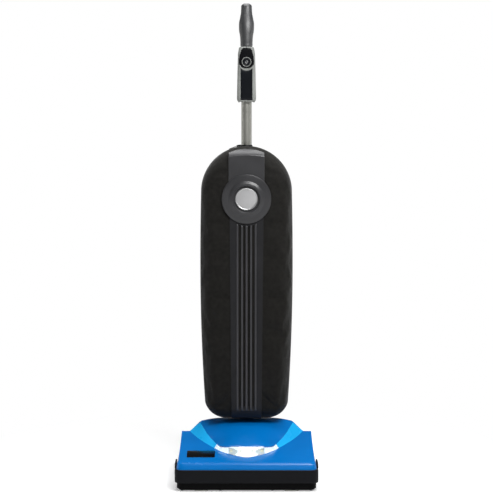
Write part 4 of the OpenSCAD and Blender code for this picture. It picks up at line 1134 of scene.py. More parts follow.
# ------------------------------------------------------------------ spine


def spine_half(z):
    """Half width of the spine."""
    if z > BOSS_Z:
        return 42.5
    foot, top = 36.0, 40.8
    return foot + (top - foot) * (z - BODY_BOTTOM) / (BOSS_Z - BODY_BOTTOM)


def rib_relief(x, z):
    """Depth of the ribs and grooves under the face of the spine: negative stands proud."""
    if abs(x) > RIB_REACH + RIB_EDGE:
        return 0.0
    top = BOSS_Z - math.sqrt((BOSS_R + BOSS_GAP) ** 2 - x * x)
    ends = smooth_step((z - RIB_FOOT_Z) / 3.0) * smooth_step((top - z) / 3.0)
    wave = (x / RIB_PITCH + 0.5) % 1.0 - 0.5
    half_rib = (RIB_PITCH - GROOVE_W) / 2 / RIB_PITCH
    if abs(x) > RIB_REACH:
        return -0.3 * ends * (1 - smooth_step((abs(x) - RIB_REACH) / RIB_EDGE))
    into = smooth_step((abs(wave) - half_rib + 0.04) / 0.12)
    rib = -0.3 - 1.1 * math.cos(min(1.0, abs(wave) / half_rib) * 0.5 * math.pi)
    return ends * (rib * (1 - into) + 3.2 * into)


def spine_face(x, z, rim, face, rounding):
    """Depth of the spine's face: rounded at the foot, and a curved band with an edge over the top."""
    top = smooth_step((z - BOSS_Z) / 60)
    reach = rounding + 3 * top
    distance = rim_distance(x, z)
    below = DOME_Z + DOME_R - z
    distance += 0.7 * top * max(0.0, below - distance)
    curve = pillow_depth(distance, rim, face - 0.11 * (rim - face) * top, reach, -1.0)
    return max(curve, face)


# Radius and depth of the blank medallion's face
MEDALLION = (
    (0, -0.9), (8, -0.85), (16, -0.6), (22, -0.2), (23.4, -0.1),
    (23.9, -0.5), (25.0, -0.9), (26.0, -0.6), (26.5, 0.2), (26.5, 3.0),
)


def build_spine(sizes):
    """Ribbed trim over the cover, with the boss and its raised ring."""
    face = COVER_LO.y
    rounding = sizes.cover_round / MM + 2
    rim = COVER_HI.y - 10
    fine = [RIB_REACH * k / 44 for k in range(45)]
    shares = [0.15, 0.4, 0.65, 0.85, 0.94, 0.975, 0.993, 1.0, 1.0]
    drops = [0.0] * (len(fine) + 6) + [0.12, 0.5, 1.3, TRIM_SKIRT]
    drops = drops[:0:-1] + drops
    rows = [("dome", SPINE_TOP)]
    for k in range(33):
        t = 0.5 * math.pi * k / 32
        rows.append(("dome", rounding * (1 - math.cos(t)) + 6.0 * (1 - k / 32)))
    z_flat = DOME_Z + DOME_R - rounding
    z = z_flat - 4
    while z > BODY_BOTTOM + rounding + 2:
        rows.append(("flat", z))
        near_end = abs(z - RIB_FOOT_Z) < 8 or abs(z - (BOSS_Z - BOSS_R - 4)) < 14
        z -= 1.0 if near_end else 6.0
    for k in range(12, -1, -1):
        t = 0.5 * math.pi * k / 12
        rows.append(("foot", BODY_BOTTOM + rounding * (1 - math.cos(t)) + 3.0 * (1 - k / 12)))
    grid = []
    for kind, value in rows:
        line = []
        tuck = TRIM_SKIRT if value == SPINE_TOP else 0.0
        middle_z = DOME_Z + DOME_R - value if kind == "dome" else value
        if kind == "dome":
            bend = 1.0
            radius = DOME_R - value
        else:
            radius = DOME_R - rounding
            bend = smooth_step((value - (z_flat - 46)) / 46) if kind == "flat" else 0.0
        half = spine_half(middle_z if kind != "foot" else BODY_BOTTOM + 3)
        right = fine + [RIB_REACH + RIB_EDGE]
        right += [RIB_REACH + RIB_EDGE + (half - RIB_REACH - RIB_EDGE) * s for s in shares]
        xs = [-x for x in reversed(right[1:])] + right
        for x, drop in zip(xs, drops):
            dip = radius - math.sqrt(radius * radius - x * x) if bend else 0.0
            zz = middle_z - dip * bend
            y = spine_face(x, zz, rim, face - 3.5, rounding)
            line.append((x, y + drop + tuck + rib_relief(x, zz), zz))
        grid.append(line)
    mesh = new_mesh("spine_skin", [p for line in grid for p in line], grid_faces(len(grid), len(grid[0])))
    obj = new_object("spine_skin", weld(mesh, 0.005, outward=False))
    face_way(obj, -1)
    smooth(obj, 24)
    for name in ("spine_grey", "spine_painted_shade_matt", "spine_painted_highlight_rib"):
        obj.data.materials.append(MATERIALS[name])
    # Faces low on the spine take the darker copy (painted shade). The rib tops take the lighter copy (painted
    # highlight).
    for polygon in obj.data.polygons:
        x, _, z = polygon.center / MM
        if z < BOSS_Z - 30:
            wave = abs((x / RIB_PITCH + 0.5) % 1.0 - 0.5)
            proud = abs(x) < RIB_REACH and wave < 0.5 - GROOVE_W / 2 / RIB_PITCH
            ends = RIB_FOOT_Z + 1 < z < BOSS_Z - math.sqrt((BOSS_R + BOSS_GAP) ** 2 - min(x * x, 900)) - 1
            polygon.material_index = 2 if proud and ends else 1
    whole = keep_in_cloth(join("ribbed_spine", [obj, build_boss()]))
    piece(whole, "cover", "spine_grey", "spine")
    disc = lathe("boss_medallion", MEDALLION, (0, BOSS_Y + 1.8, BOSS_Z), "y", 128)
    face_way(disc, -1)
    piece(disc, "cover", "medallion_silver", "medallion")


def keep_in_cloth(obj):
    """Ends the hidden edges of a trim inside the settled cloth, so that the lining stays whole."""
    cover = bpy.data.objects["fabric_cover"].data
    cloth = BVHTree.FromPolygons([v.co for v in cover.vertices], [tuple(f.vertices) for f in cover.polygons])
    for vertex in obj.data.vertices:
        x, y, z = vertex.co
        outside = cloth.ray_cast(Vector((x, -1.0, z)), Vector((0.0, 1.0, 0.0)))[0]  # from a metre in front
        if outside is not None:
            vertex.co.y = min(y, outside.y + TRIM_SEAT * MM)
    return obj


def build_boss():
    """Round boss: rim, flat ring, raised ring and the seat of the medallion."""
    profile = [(BOSS_R, 8.3), (BOSS_R, 1.6), (BOSS_R - 0.5, 0.5), (BOSS_R - 1.8, 0.0), (BOSS_R - 9, -0.25)]
    profile += [(RING_R + 1.0, -0.3), (RING_R, -0.45)]
    for k in range(1, 9):
        t = k / 8
        profile.append((RING_R - 8.8 * t, -0.45 - 3.6 * math.sin(0.5 * math.pi * t**1.15) ** 0.9))
    profile += [(33.2, -4.3), (32.4, -4.35), (31.9, -4.0), (31.7, -3.2), (31.2, 2.4), (30.6, 3.0), (0, 3.0)]
    boss = lathe("boss_skin", profile, (0, BOSS_Y, BOSS_Z), "y", 160)
    face_way(boss, -1)
    boss.data.materials.append(MATERIALS["spine_grey"])
    return boss


# ------------------------------------------------------------------ zip


# Depth and inset of the corners of the zip tape's section, and the steps round its outline
TAPE_SECTION = ((-1.5, 5.0), (-1.5, 0.3), (-0.9, 0.0), (0.9, 0.0), (1.5, 0.3), (1.5, 5.0))
TAPE_STEPS = (120, 90, 20, 12)
TAB_DROOP = 0.009  # curve of the pull tab: its drop over the square of its reach, in millimetres


def smallest_island(bm):
    """Vertices of the part of a mesh that is the least tall."""
    groups, seen = [], set()
    for v in bm.verts:
        if v in seen:
            continue
        group, queue = [], [v]
        seen.add(v)
        while queue:
            a = queue.pop()
            group.append(a)
            for e in a.link_edges:
                b = e.other_vert(a)
                if b not in seen:
                    seen.add(b)
                    queue.append(b)
        groups.append(group)
    return set(min(groups, key=lambda g: max(v.co.z for v in g) - min(v.co.z for v in g)))


def build_zip():
    """Woven tape round the seam, its row of coil teeth, the slider and the pull."""
    y = (TAPE_LO.y + TAPE_HI.y) / 2
    path = body_outline(0.0, *TAPE_STEPS)
    count = len(path)
    rows = [[(x, y + dy, z) for x, z in body_outline(inset, *TAPE_STEPS)] for dy, inset in TAPE_SECTION]
    rows.append(rows[0])
    tape = loft("tape_skin", rows, closed=True)
    smooth(tape, 50)
    layer = tape.data.uv_layers.new(name="cloth")
    for loop in tape.data.loops:
        p = tape.data.vertices[loop.vertex_index].co
        layer.data[loop.index].uv = (p.x + p.z, p.y)
    tape.data.materials.append(MATERIALS["zip_black"])
    middle = Vector((0, 0, 420))
    points, aims = [], []
    for k in range(count):
        x, z = path[k]
        ahead, behind = path[(k + 1) % count], path[k - 1]
        along = Vector((ahead[0] - behind[0], 0, ahead[1] - behind[1])).normalized()
        out = along.cross(Vector((0, 1, 0)))
        if out.dot(Vector((x, 0, z)) - middle) < 0:
            out = -out
        points.append((x - out.x * 0.3, y, z - out.z * 0.3))
        aims.append(tuple(out))
    tooth = bead("tooth", (0.45, 1.0, 0.42), sides=5)
    teeth = repeat("zip_teeth", points, aims, tooth, 2.0, "zip_teeth")
    slider = copy_of("zipper_tape", "slider")
    with edited(slider.data) as bm:
        keep = smallest_island(bm)
        bmesh.ops.delete(bm, geom=[v for v in bm.verts if v not in keep], context="VERTS")
    sharp_bevel(slider, 0.5, 2, 30)
    smooth(slider, 40)
    slider.data.materials.append(MATERIALS["zip_teeth"])
    whole = join("zip_tape_and_slider", [tape, teeth, slider])
    piece(whole, "upright", "zip_black", "zipper_tape")
    pull = softened("zipper_pull", "zip_pull_tab", "zip_tab", "zip_metal", 0.5, 2, material="zip_teeth")
    hinge = box_mm("zipper_pull")[1].x
    for v in pull.data.vertices:
        reach = max(0.0, hinge - v.co.x / MM)
        v.co.z -= TAB_DROOP * reach * reach * MM


# ------------------------------------------------------------------ neck and rear of the body


def build_neck():
    """Neck, dust pipe, bag port and the small fixed pieces of the upright."""
    softened("neck_yoke", "swivel_neck", "upright", "casing_black", 1.0, 3, 30)
    softened("fill_tube", "dust_fill_tube", "upright", "dock_plastic", 0.6)
    softened("bag_dock", "bag_port_elbow", "upright", "dock_plastic", 0.7)
    softened("battery_dock", "battery_contact_block", "upright", "dock_plastic", 0.5)
    softened("tube_bolt", "handle_tube_bolt", "upright", "screw_steel", 0.4)
    softened("handle_lead", "switch_lead", "upright", "lead_jacket", 0.3)


def build_rear_shell():
    """Moulded rear casing: a smooth outer skin round the bay, the sockets and ribs of the frame inside."""
    rim, face = SHELL_LO.y, SHELL_HI.y
    rounding, wall = 30.0, 2.5
    skin = pillow("rear_skin", rim, face, rounding, 0.6, 14, 12)
    face_way(skin, 1)
    modify(skin, "SOLIDIFY", thickness=wall * MM, offset=-1.0)
    lo, hi = box_mm("battery_dock")
    reach = 10.0
    cutter = new_object("bay_cutter", box_mesh((lo.x, lo.y - 4.0, lo.z), (hi.x, face + reach, BAY_TOP)))
    modify(skin, "BOOLEAN", operation="DIFFERENCE", object=cutter, solver="EXACT")
    bpy.data.objects.remove(cutter)
    inner = copy_of("back_shell", "rear_inner")
    near = 1.6
    with edited(inner.data) as bm:
        gone = []
        for f in bm.faces:
            c = f.calc_center_median() / MM
            depth = rim_distance(c.x, c.z)
            outer_y = pillow_depth(depth, rim, face, rounding, 0.6)
            inner_y = pillow_depth(depth, rim, face - wall, rounding, 0.6 + wall)
            flat = (abs(f.normal.x) > 0.999 or abs(f.normal.z) > 0.999) and depth > 6
            if (min(abs(c.y - outer_y), abs(c.y - inner_y)) < near or depth < 4.5) and not flat:
                gone.append(f)
        bmesh.ops.delete(bm, geom=gone, context="FACES")
    shell = join("rear_casing", [skin, inner])
    smooth(shell, 32)
    piece(shell, "upright", "casing_black", "back_shell")


def box_mesh(lo, hi):
    """Closed box between two corners."""
    points = [(x, y, z) for x in (lo[0], hi[0]) for y in (lo[1], hi[1]) for z in (lo[2], hi[2])]
    faces = [(0, 1, 3, 2), (4, 6, 7, 5), (0, 4, 5, 1), (2, 3, 7, 6), (0, 2, 6, 4), (1, 5, 7, 3)]
    return new_mesh("box", points, faces)


def build_battery():
    """Battery pack and its latch."""
    softened("battery_pack", "battery_case", "battery", "casing_black", 1.6, 3)
    softened("battery_latch", "battery_release_button", "latch", "dock_plastic", 0.9, 3)


# ------------------------------------------------------------------ dust bag


def build_dust_bag():
    """Paper bag: gusseted sides, a folded foot and cross creases, filled out by air."""
    lo, hi = box_mm("dust_bag")
    half, z0, z1 = hi.x, lo.z, hi.z
    middle, deep = (lo.y + hi.y) / 2, (hi.y - lo.y) / 2
    rows, columns = 80, 72
    grid = []
    for j in range(rows + 1):
        v = j / rows
        z = z0 + (z1 - z0) * v
        ends = min(1.0, math.sin(math.pi * min(v, 1 - v) / 0.12) if min(v, 1 - v) < 0.06 else 1.0)
        ends = max(ends, 0.04)
        crease = 1 - 0.05 * math.exp(-((v * 7) % 1.0 - 0.5) ** 2 / 0.004)
        row = []
        for k in range(columns):
            a = 2 * math.pi * k / columns
            c, s = math.cos(a), math.sin(a)
            x = half * math.copysign(abs(c) ** 0.22, c)
            y = deep * math.copysign(abs(s) ** 0.45, s)
            gusset = math.exp(-((abs(s)) / 0.16) ** 2)
            x -= math.copysign(7.0 * gusset, c) * ends
            puff = 0.93 + 0.07 * math.cos(x / half * 1.3)
            row.append((x * (0.985 + 0.015 * ends), middle + y * crease * puff * (0.25 + 0.75 * ends), z))
        grid.append(row)
    bag = loft("paper_dust_bag", grid, closed=True, caps=True)
    smooth(bag, 50)
    piece(bag, "upright", "bag_paper", "dust_bag")
    softened("bag_collar", "card_bag_collar", "upright", "collar_card", 0.4)


# ------------------------------------------------------------------ handle


HOUSING_SHARES = (0.0, 0.012, 0.046, 0.15, 0.54, 0.87, 0.93, 0.985, 1.0)
HOUSING_WIDTHS = (0.83, 0.93, 1.0, 0.99, 0.945, 0.89, 0.84, 0.78, 0.66)


def housing_half(z):
    """Half width of the handle housing."""
    share = (z - HOUSING_LO.z) / (HOUSING_HI.z - HOUSING_LO.z)
    return float(np.interp(share, HOUSING_SHARES, HOUSING_WIDTHS)) * HOUSING_HI.x


def housing_shell(name, y_face, y_part, *nodes):
    """Half of the handle housing: rounded corners, rounded ends and a small groove at the joint."""
    z0, z1 = HOUSING_LO.z, HOUSING_HI.z
    out = 1 if y_face > y_part else -1
    end = 1.8
    turns = [0.5 * math.pi * k / 6 for k in range(7)]
    low = [(z0 + end * (1 - math.cos(t)), end * (1 - math.sin(t))) for t in turns]
    heights = low + [(z, 0.0) for z in np.linspace(z0 + end, z1 - end, 52)[1:-1]]
    heights += [(z0 + z1 - z, inset) for z, inset in reversed(low)]
    rows = []
    for z, inset in heights:
        a = housing_half(z) - inset * 0.6
        face = y_face - out * inset
        r = min(7.5, 0.6 * a)
        line = [(-a + 0.6, y_part, z), (-a + 0.1, y_part + out * 0.5, z), (-a, y_part + out * 1.2, z)]
        for k in range(9):
            t = 0.5 * math.pi * k / 8
            line.append((-a + r * (1 - math.cos(t)), face - out * r * (1 - math.sin(t)), z))
        line += [((r - a) * (1 - k / 5), face, z) for k in range(1, 6)]
        line += [(-x, y, h) for x, y, h in reversed(line[:-1])]
        rows.append(line)
    rows = [[(x, y_part, z) for x, y, z in rows[0]]] + rows + [[(x, y_part, z) for x, y, z in rows[-1]]]
    shell = loft(name, rows, outward=False)
    face_way(shell, out)
    modify(shell, "SOLIDIFY", thickness=2.0 * MM, offset=-1.0)
    smooth(shell, 40)
    return piece(shell, "upright", "shell_silver", *nodes)


def plate(name, outline, y_front, y_back, edge=0.7, crown=0.35):
    """Plate with a rounded front edge and a slight crown. The outline runs round in front view."""
    cx, cz = np.mean(outline, axis=0)
    inner = drawn_in(outline, edge)
    rows = [[(x, y_back, z) for x, z in outline]]
    for k in range(5):
        t = 0.5 * math.pi * k / 4
        s, y = 1 - math.cos(t), y_front + edge * (1 - math.sin(t))
        rows.append([(x + (xi - x) * s, y, z + (zi - z) * s) for (x, z), (xi, zi) in zip(outline, inner)])
    for k in range(1, 7):
        s = k / 6
        rows.append([(xi + (cx - xi) * s, y_front - crown * s * (2 - s), zi + (cz - zi) * s) for xi, zi in inner])
    made = loft(name, rows, closed=True, outward=False)
    face_way(made, -1)
    return smooth(made, 40)


def drawn_in(outline, inset):
    """Outline drawn in by inset along its own normals."""
    n = len(outline)
    turns = sum(outline[k - 1][0] * outline[k][1] - outline[k][0] * outline[k - 1][1] for k in range(n))
    inset = math.copysign(inset, turns)
    made = []
    for k in range(n):
        (x0, z0), (x1, z1) = outline[k - 1], outline[(k + 1) % n]
        d = math.hypot(x1 - x0, z1 - z0)
        made.append((outline[k][0] - inset * (z1 - z0) / d, outline[k][1] + inset * (x1 - x0) / d))
    return made


def arc(cx, cz, r, start, end, steps):
    """Points on an arc in front view."""
    turns = [math.radians(start + (end - start) * k / steps) for k in range(steps + 1)]
    return [(cx + r * math.cos(a), cz + r * math.sin(a)) for a in turns]


# Half widths of the switch surround, at heights from the switch's centre
BEZEL_HALVES = (
    (33.9, 0), (33.4, 5.5), (31.8, 9.6), (28, 12.4), (22, 14.4), (14, 16.6),
    (6, 17.7), (-2, 17.8), (-7, 16.9), (-11.5, 13.4), (-14.5, 7.5), (-15.6, 0),
)


def egg(middle, halves):
    """Closed egg-shaped outline from its half widths."""
    right = [(max(0.0, half), middle + h) for h, half in through(sorted(halves), 44)]
    return right + [(-x, z) for x, z in reversed(right[1:-1])]


def drill(obj, radius, y_from, y_to):
    """Cuts the round hole of the switch."""
    profile = [(0, y_from), (radius, y_from), (radius, y_to), (0, y_to)]
    bit = lathe("hole_cutter", profile, (0, 0, BUTTON_Z), "y", 64)
    weld(bit.data)
    modify(obj, "BOOLEAN", operation="DIFFERENCE", object=bit, solver="EXACT")
    bpy.data.objects.remove(bit)


def build_handle():
    """Painted shells with their black inserts, the U-shaped trim and the switch."""
    y0, y1 = HOUSING_LO.y, box_mm("handle_shell_rear")[1].y
    part = HOUSING_HI.y
    front = housing_shell("handle_front_shell", y0, part, "handle_shell_front")
    wide = BUTTON_HI.x
    hole = (wide + 0.3, y0 - 2, y0 + 12)
    drill(front, *hole)
    housing_shell("handle_rear_shell", y1, part + 0.2, "handle_shell_rear")
    bezel = plate("switch_surround", egg(BUTTON_Z, BEZEL_HALVES), y0 - 0.6, y0 + 3.0)
    drill(bezel, *hole)
    piece(bezel, "upright", "gloss_black", "switch_bezel")
    low = BUTTON_Z - 1.4
    panel = switch_panel(box_mm("handle_panel")[0].z, low, 19.7, 14.3, y0)
    piece(panel, "upright", "panel_black", "handle_panel")
    bend = arc(0, low, 17.7, -158, -22, 40)
    trim = sweep_tube("switch_trim", [(x, y0 - 0.2, z) for x, z in bend], 0.9, 12, squash_mm=1.5)
    piece(trim, "upright", "shell_silver")
    profile = [(9.6, 2.0), (9.6, -0.9), (10.0, -1.5), (10.6, -1.7), (11.2, -1.4), (11.5, -0.6), (11.5, 2.0)]
    piece(lathe("switch_ring", profile, (0, y0 - 0.2, BUTTON_Z), "y", 96), "upright", "shell_silver")
    profile = [(0, 0.9), (3.0, 0.75), (6.2, 0.35), (8.2, -0.1), (8.9, 0.1), (wide, 0.7), (wide, 10.5), (0, 10.5)]
    cap = lathe("button_cap", profile, (0, BUTTON_LO.y + 0.1, BUTTON_Z), "y", 80)
    cap.data.materials.append(MATERIALS["panel_black"])
    y, line_r = BUTTON_LO.y + 0.75, 0.45
    mark = sweep_tube("power_mark", [(x, y, z) for x, z in arc(0, BUTTON_Z, 3.1, 125, 415, 30)], line_r, 8)
    stroke = sweep_tube("power_stroke", [(0, y, BUTTON_Z + h) for h in (1.0, 2.2, 3.6)], line_r, 8)
    for line in (mark, stroke):
        line.data.materials.append(MATERIALS["medallion_silver"])
    piece(join("power_switch_button", [cap, mark, stroke]), "button", "panel_black", "power_button")
    softened("switch_body", "switch_case", "upright", "dock_plastic", 0.5)
    softened("handle_screws", "handle_shell_screws", "upright", "screw_steel", 0.3)
    build_tube()


def switch_panel(z_low, arc_z, arc_r, half, y0):
    """Long black panel, concave at its top, with a rounded edge."""
    rows, steps, edge = [], 40, 0.6
    front, back = y0 - 0.55, y0 + 2.85
    for k in range(steps + 1):
        x = half * (2 * k / steps - 1)
        top = arc_z - math.sqrt(arc_r * arc_r - x * x)
        y = front + max(0.0, edge - (half - abs(x)))
        line = [(back, z_low), (y + edge, z_low), (y + 0.2 * edge, z_low + 0.25 * edge), (y, z_low + edge)]
        line += [(y, z_low + edge + (top - z_low - 2 * edge) * j / 12) for j in range(1, 12)]
        line += [(y, top - edge), (y + 0.2 * edge, top - 0.25 * edge), (y + edge, top), (back, top)]
        rows.append([(x, a, b) for a, b in line])
    rows = [[(x, back, z) for x, _, z in rows[0]]] + rows + [[(x, back, z) for x, _, z in rows[-1]]]
    made = loft("switch_panel", rows, outward=False)
    face_way(made, -1)
    return smooth(made, 40)


def build_tube():
    """Handle tube, and the collar where it enters the body."""
    low, high, r = TUBE_LO.z, TUBE_HI.z, TUBE_HI.x
    bore = r - 1.5
    profile = [(bore, low), (r - 0.3, low), (r, low + 0.4), (r, low + 150), (r, high), (bore, high), (bore, low)]
    tube = lathe("steel_handle_tube", profile, (0, HANDLE_Y, 0), "z", 96)
    piece(tube, "upright", "tube_metal", "handle_tube")
    lo, hi = box_mm("tube_collar")
    c, top, fit = hi.x, hi.z - 8.0, r + 0.05
    profile = [(fit, lo.z), (c, lo.z), (c + 3.6, top - 8.0), (c + 2.4, top - 7.2), (c + 1.2, top - 6.0)]
    profile += [(c + 0.3, top - 4.2), (c, top - 2.4), (c - 0.4, top - 0.9), (c - 1.0, top - 0.2)]
    profile += [(r + 0.5, top), (fit, top - 0.4), (fit, lo.z)]
    collar = lathe("tube_entry_collar", profile, (0, HANDLE_Y, 0), "z", 80)
    piece(collar, "upright", "casing_black", "tube_collar")


# Rings of the grip: share of its height, lean to the rear, share of its half width, half depth
GRIP_RINGS = (
    (0.0, 0.0, 0.76, 12.6), (0.03, 0.4, 0.8, 13.0), (0.08, 1.0, 0.8, 13.2), (0.13, 1.5, 0.81, 13.6),
    (0.25, 3.0, 0.86, 14.4), (0.36, 5.0, 0.97, 15.6), (0.45, 7.0, 1.0, 16.4), (0.55, 9.5, 0.99, 16.4),
    (0.66, 13.0, 0.87, 15.4), (0.78, 17.0, 0.75, 13.6), (0.88, 20.0, 0.72, 12.4), (0.94, 21.5, 0.7, 11.6),
    (0.975, 22.3, 0.6, 9.6), (1.0, 22.8, 0.36, 6.0),
)


def build_grip():
    """Soft grip with a moulding line along each side and a groove near its end."""
    y, half = HANDLE_Y, GRIP_HI.x
    z0 = HOUSING_HI.z + 0.2
    tall = GRIP_HI.z - z0
    rows, columns = [], 72
    for s, back, wide, deep in through(GRIP_RINGS, 90):
        line = []
        for k in range(columns):
            a = 2 * math.pi * k / columns
            c = math.cos(a)
            seam = 0.35 * math.exp(-((abs(math.sin(a))) / 0.05) ** 2) if 0.02 < s < 0.96 else 0.0
            groove = 0.5 * math.exp(-((s - 0.905) / 0.006) ** 2)
            px = (half * wide - groove) * c + math.copysign(seam, c) * 0.5
            line.append((px, y + back + (deep - groove) * math.sin(a), z0 + tall * s))
        rows.append(line)
    grip = loft("soft_grip", rows, closed=True, caps=True)
    smooth(grip, 45)
    piece(grip, "upright", "grip_black", "grip")


# ------------------------------------------------------------------ bumper and lower casing


def build_bumper():
    """Rubber guard with rounded edges, its ends closed, and the lobes beside the hood."""
    half, front, rear = BUMPER_HI.x, BUMPER_LO.y, BUMPER_HI.y
    low, high = BUMPER_LO.z, BUMPER_HI.z
    tall = high - low
    section = [(5.0, 0.0), (2.2, 0.0), (1.2, 0.25), (0.5, 0.9), (0.12, 2.2), (0.0, 5.0), (0.0, 0.5 * tall)]
    section += [(d, tall - h) for d, h in reversed(section[:6])]
    steps = 180
    rows = []
    for d, h in section:
        corner = 14.0 - d
        ring = [head_outline(half - d, front + d, rear, corner, k, steps) for k in range(steps + 1)]
        rows.append([(x, y, low + h) for x, y in ring])
    rows.append(rows[0])
    band = loft("bumper_band", rows)
    with edited(band.data) as bm:
        bmesh.ops.holes_fill(bm, edges=[e for e in bm.edges if e.is_boundary])
        bmesh.ops.recalc_face_normals(bm, faces=bm.faces)
    sharp_bevel(band, 0.9, 2, 55)
    smooth(band, 40)
    piece(band, "base", "bumper_rubber", "bumper")
    softened("side_guards", "hood_side_lobes", "base", "bumper_rubber", 1.4, 3, 40)
    softened("badge_plate", "blank_badge_plate", "base", "gloss_black", 0.5, 2, 40)


# Node, piece, slot, rounding of its edges, and the material where that isn't the slot's own
LOWER_PIECES = (
    ("chassis", "lower_casing", "casing_black", 0.9, "chassis_black"),
    # The sole plate takes a darkened steel instead of its plated steel: painted shade under the floor head.
    ("sole_plate", "steel_sole_plate", "plated_steel", 0.4, "black_steel"),
    ("sole_screws", "sole_plate_screws", "screw_steel", 0.2),
    ("glide_pads", "floor_glide_pads", "glide_plastic", 0.8),
    ("brush_end_blocks", "brush_bearing_blocks", "dock_plastic", 0.6),
    ("wheel_axles", "wheel_axle_pins", "plated_steel", 0.5),
    ("pivot_pins", "pivot_and_pedal_pins", "plated_steel", 0.5),
)

# Node, piece, body, slot and rounding of its edges
DRIVE_PIECES = (
    ("motor_housing", "motor_can", "base", "motor_steel", 0.8),
    ("motor_bearings", "motor_ball_bearings", "base", "bearing_steel", 0.4),
    ("motor_cradles", "motor_rubber_saddles", "base", "belt_rubber", 0.8),
    ("fan_housing", "fan_scroll_casing", "base", "dock_plastic", 0.8),
    ("intake_duct", "brush_to_fan_duct", "base", "dock_plastic", 0.8),
    ("exhaust_elbow", "outlet_elbow", "base", "dock_plastic", 0.8),
    ("drive_belt", "flat_drive_belt", "base", "belt_rubber", 0.2),
    ("motor_shaft", "motor_spindle", "motor_rotor", "bearing_steel", 0.4),
    ("motor_armature", "copper_armature", "motor_rotor", "winding_copper", 2.0),
    ("drive_pulley", "turned_pulley", "motor_rotor", "pulley_alloy", 0.3),
    ("suction_fan", "bladed_fan", "motor_rotor", "fan_plastic", 0.5),
)


def build_lower():
    """Lower casing, sole and their fixings."""
    for node, name, slot, width, *finish in LOWER_PIECES:
        softened(node, name, "base", slot, width, material=finish[0] if finish else None)


def build_drive():
    """Motor, fan, belt and ducts."""
    for node, name, body, slot, width in DRIVE_PIECES:
        softened(node, name, body, slot, width)


def build_pedal():
    """Foot pedal, and the coil spring on its pin."""
    softened("release_pedal", "foot_pedal", "pedal", "casing_black", 1.0, 3)
    lo, hi = box_mm("pedal_spring")
    y, z = (lo.y + hi.y) / 2, (lo.z + hi.z) / 2
    wire, turns, steps = 0.5, 5, 120
    mean = (hi.z - lo.z) / 2 - wire
    path = []
    for k in range(steps + 1):
        a = 2 * math.pi * turns * k / steps
        x = lo.x + wire + (hi.x - lo.x - 2 * wire) * k / steps
        path.append((x, y + mean * math.cos(a), z + mean * math.sin(a)))
    spring = sweep_tube("pedal_return_spring", path, wire, sides=8)
    piece(spring, "base", "screw_steel", "pedal_spring")


# ------------------------------------------------------------------ wheels


TREAD_BARS = 46


def build_wheel(side):
    """Moulded hub, and a grooved tyre with tread bars."""
    body = side + "_wheel"
    lo, hi = box_mm("tyre_" + side)
    x, y, z = (lo + hi) / 2
    r, half = (hi.z - lo.z) / 2, (hi.x - lo.x) / 2
    hub_lo, hub_hi = box_mm("wheel_" + side)
    rim = (hub_hi.z - hub_lo.z) / 2
    shoulder = [(rim, -half + 0.5), (r - 2.6, -half), (r - 1.2, -half + 0.7), (r - 0.6, -half + 2.0)]
    profile = list(shoulder)
    for at in (half * -0.4, half * 0.4):
        profile += [(r - 0.6, at - 1.3), (r - 1.9, at - 0.7), (r - 1.9, at + 0.7), (r - 0.6, at + 1.3)]
    profile += [(a, -b) for a, b in reversed(shoulder)] + [shoulder[0]]
    tyre = lathe("tyre_skin", profile, (x, y, z), "x", 96)
    tyre.data.materials.append(MATERIALS["wheel_tread"])
    circle = [2 * math.pi * k / 96 for k in range(96)]
    path = [(x, y + (r - 0.85) * math.cos(a), z + (r - 0.85) * math.sin(a)) for a in circle]
    aims = [(0.0, math.cos(a), math.sin(a)) for a in circle]
    bar = bead("tread_bar", (half - 2.2, 0.9, 0.85))
    bar.data.transform(Matrix.Rotation(math.pi / 2, 4, "Z"))
    bars = repeat("tread_bars", path, aims, bar, 2 * math.pi * r / TREAD_BARS, "wheel_tread")
    whole = join(side + "_tyre", [tyre, bars])
    smooth(whole, 40)
    piece(whole, body, "wheel_tread", "tyre_" + side)
    softened("wheel_" + side, side + "_wheel_hub", body, "wheel_plastic", 0.6)


# ------------------------------------------------------------------ brush roll


TUFT_SPACING = 5.8
STRAND_THICKNESS = (1.0, 0.9, 0.45)  # at the root, the middle and the tip, as shares of the radius


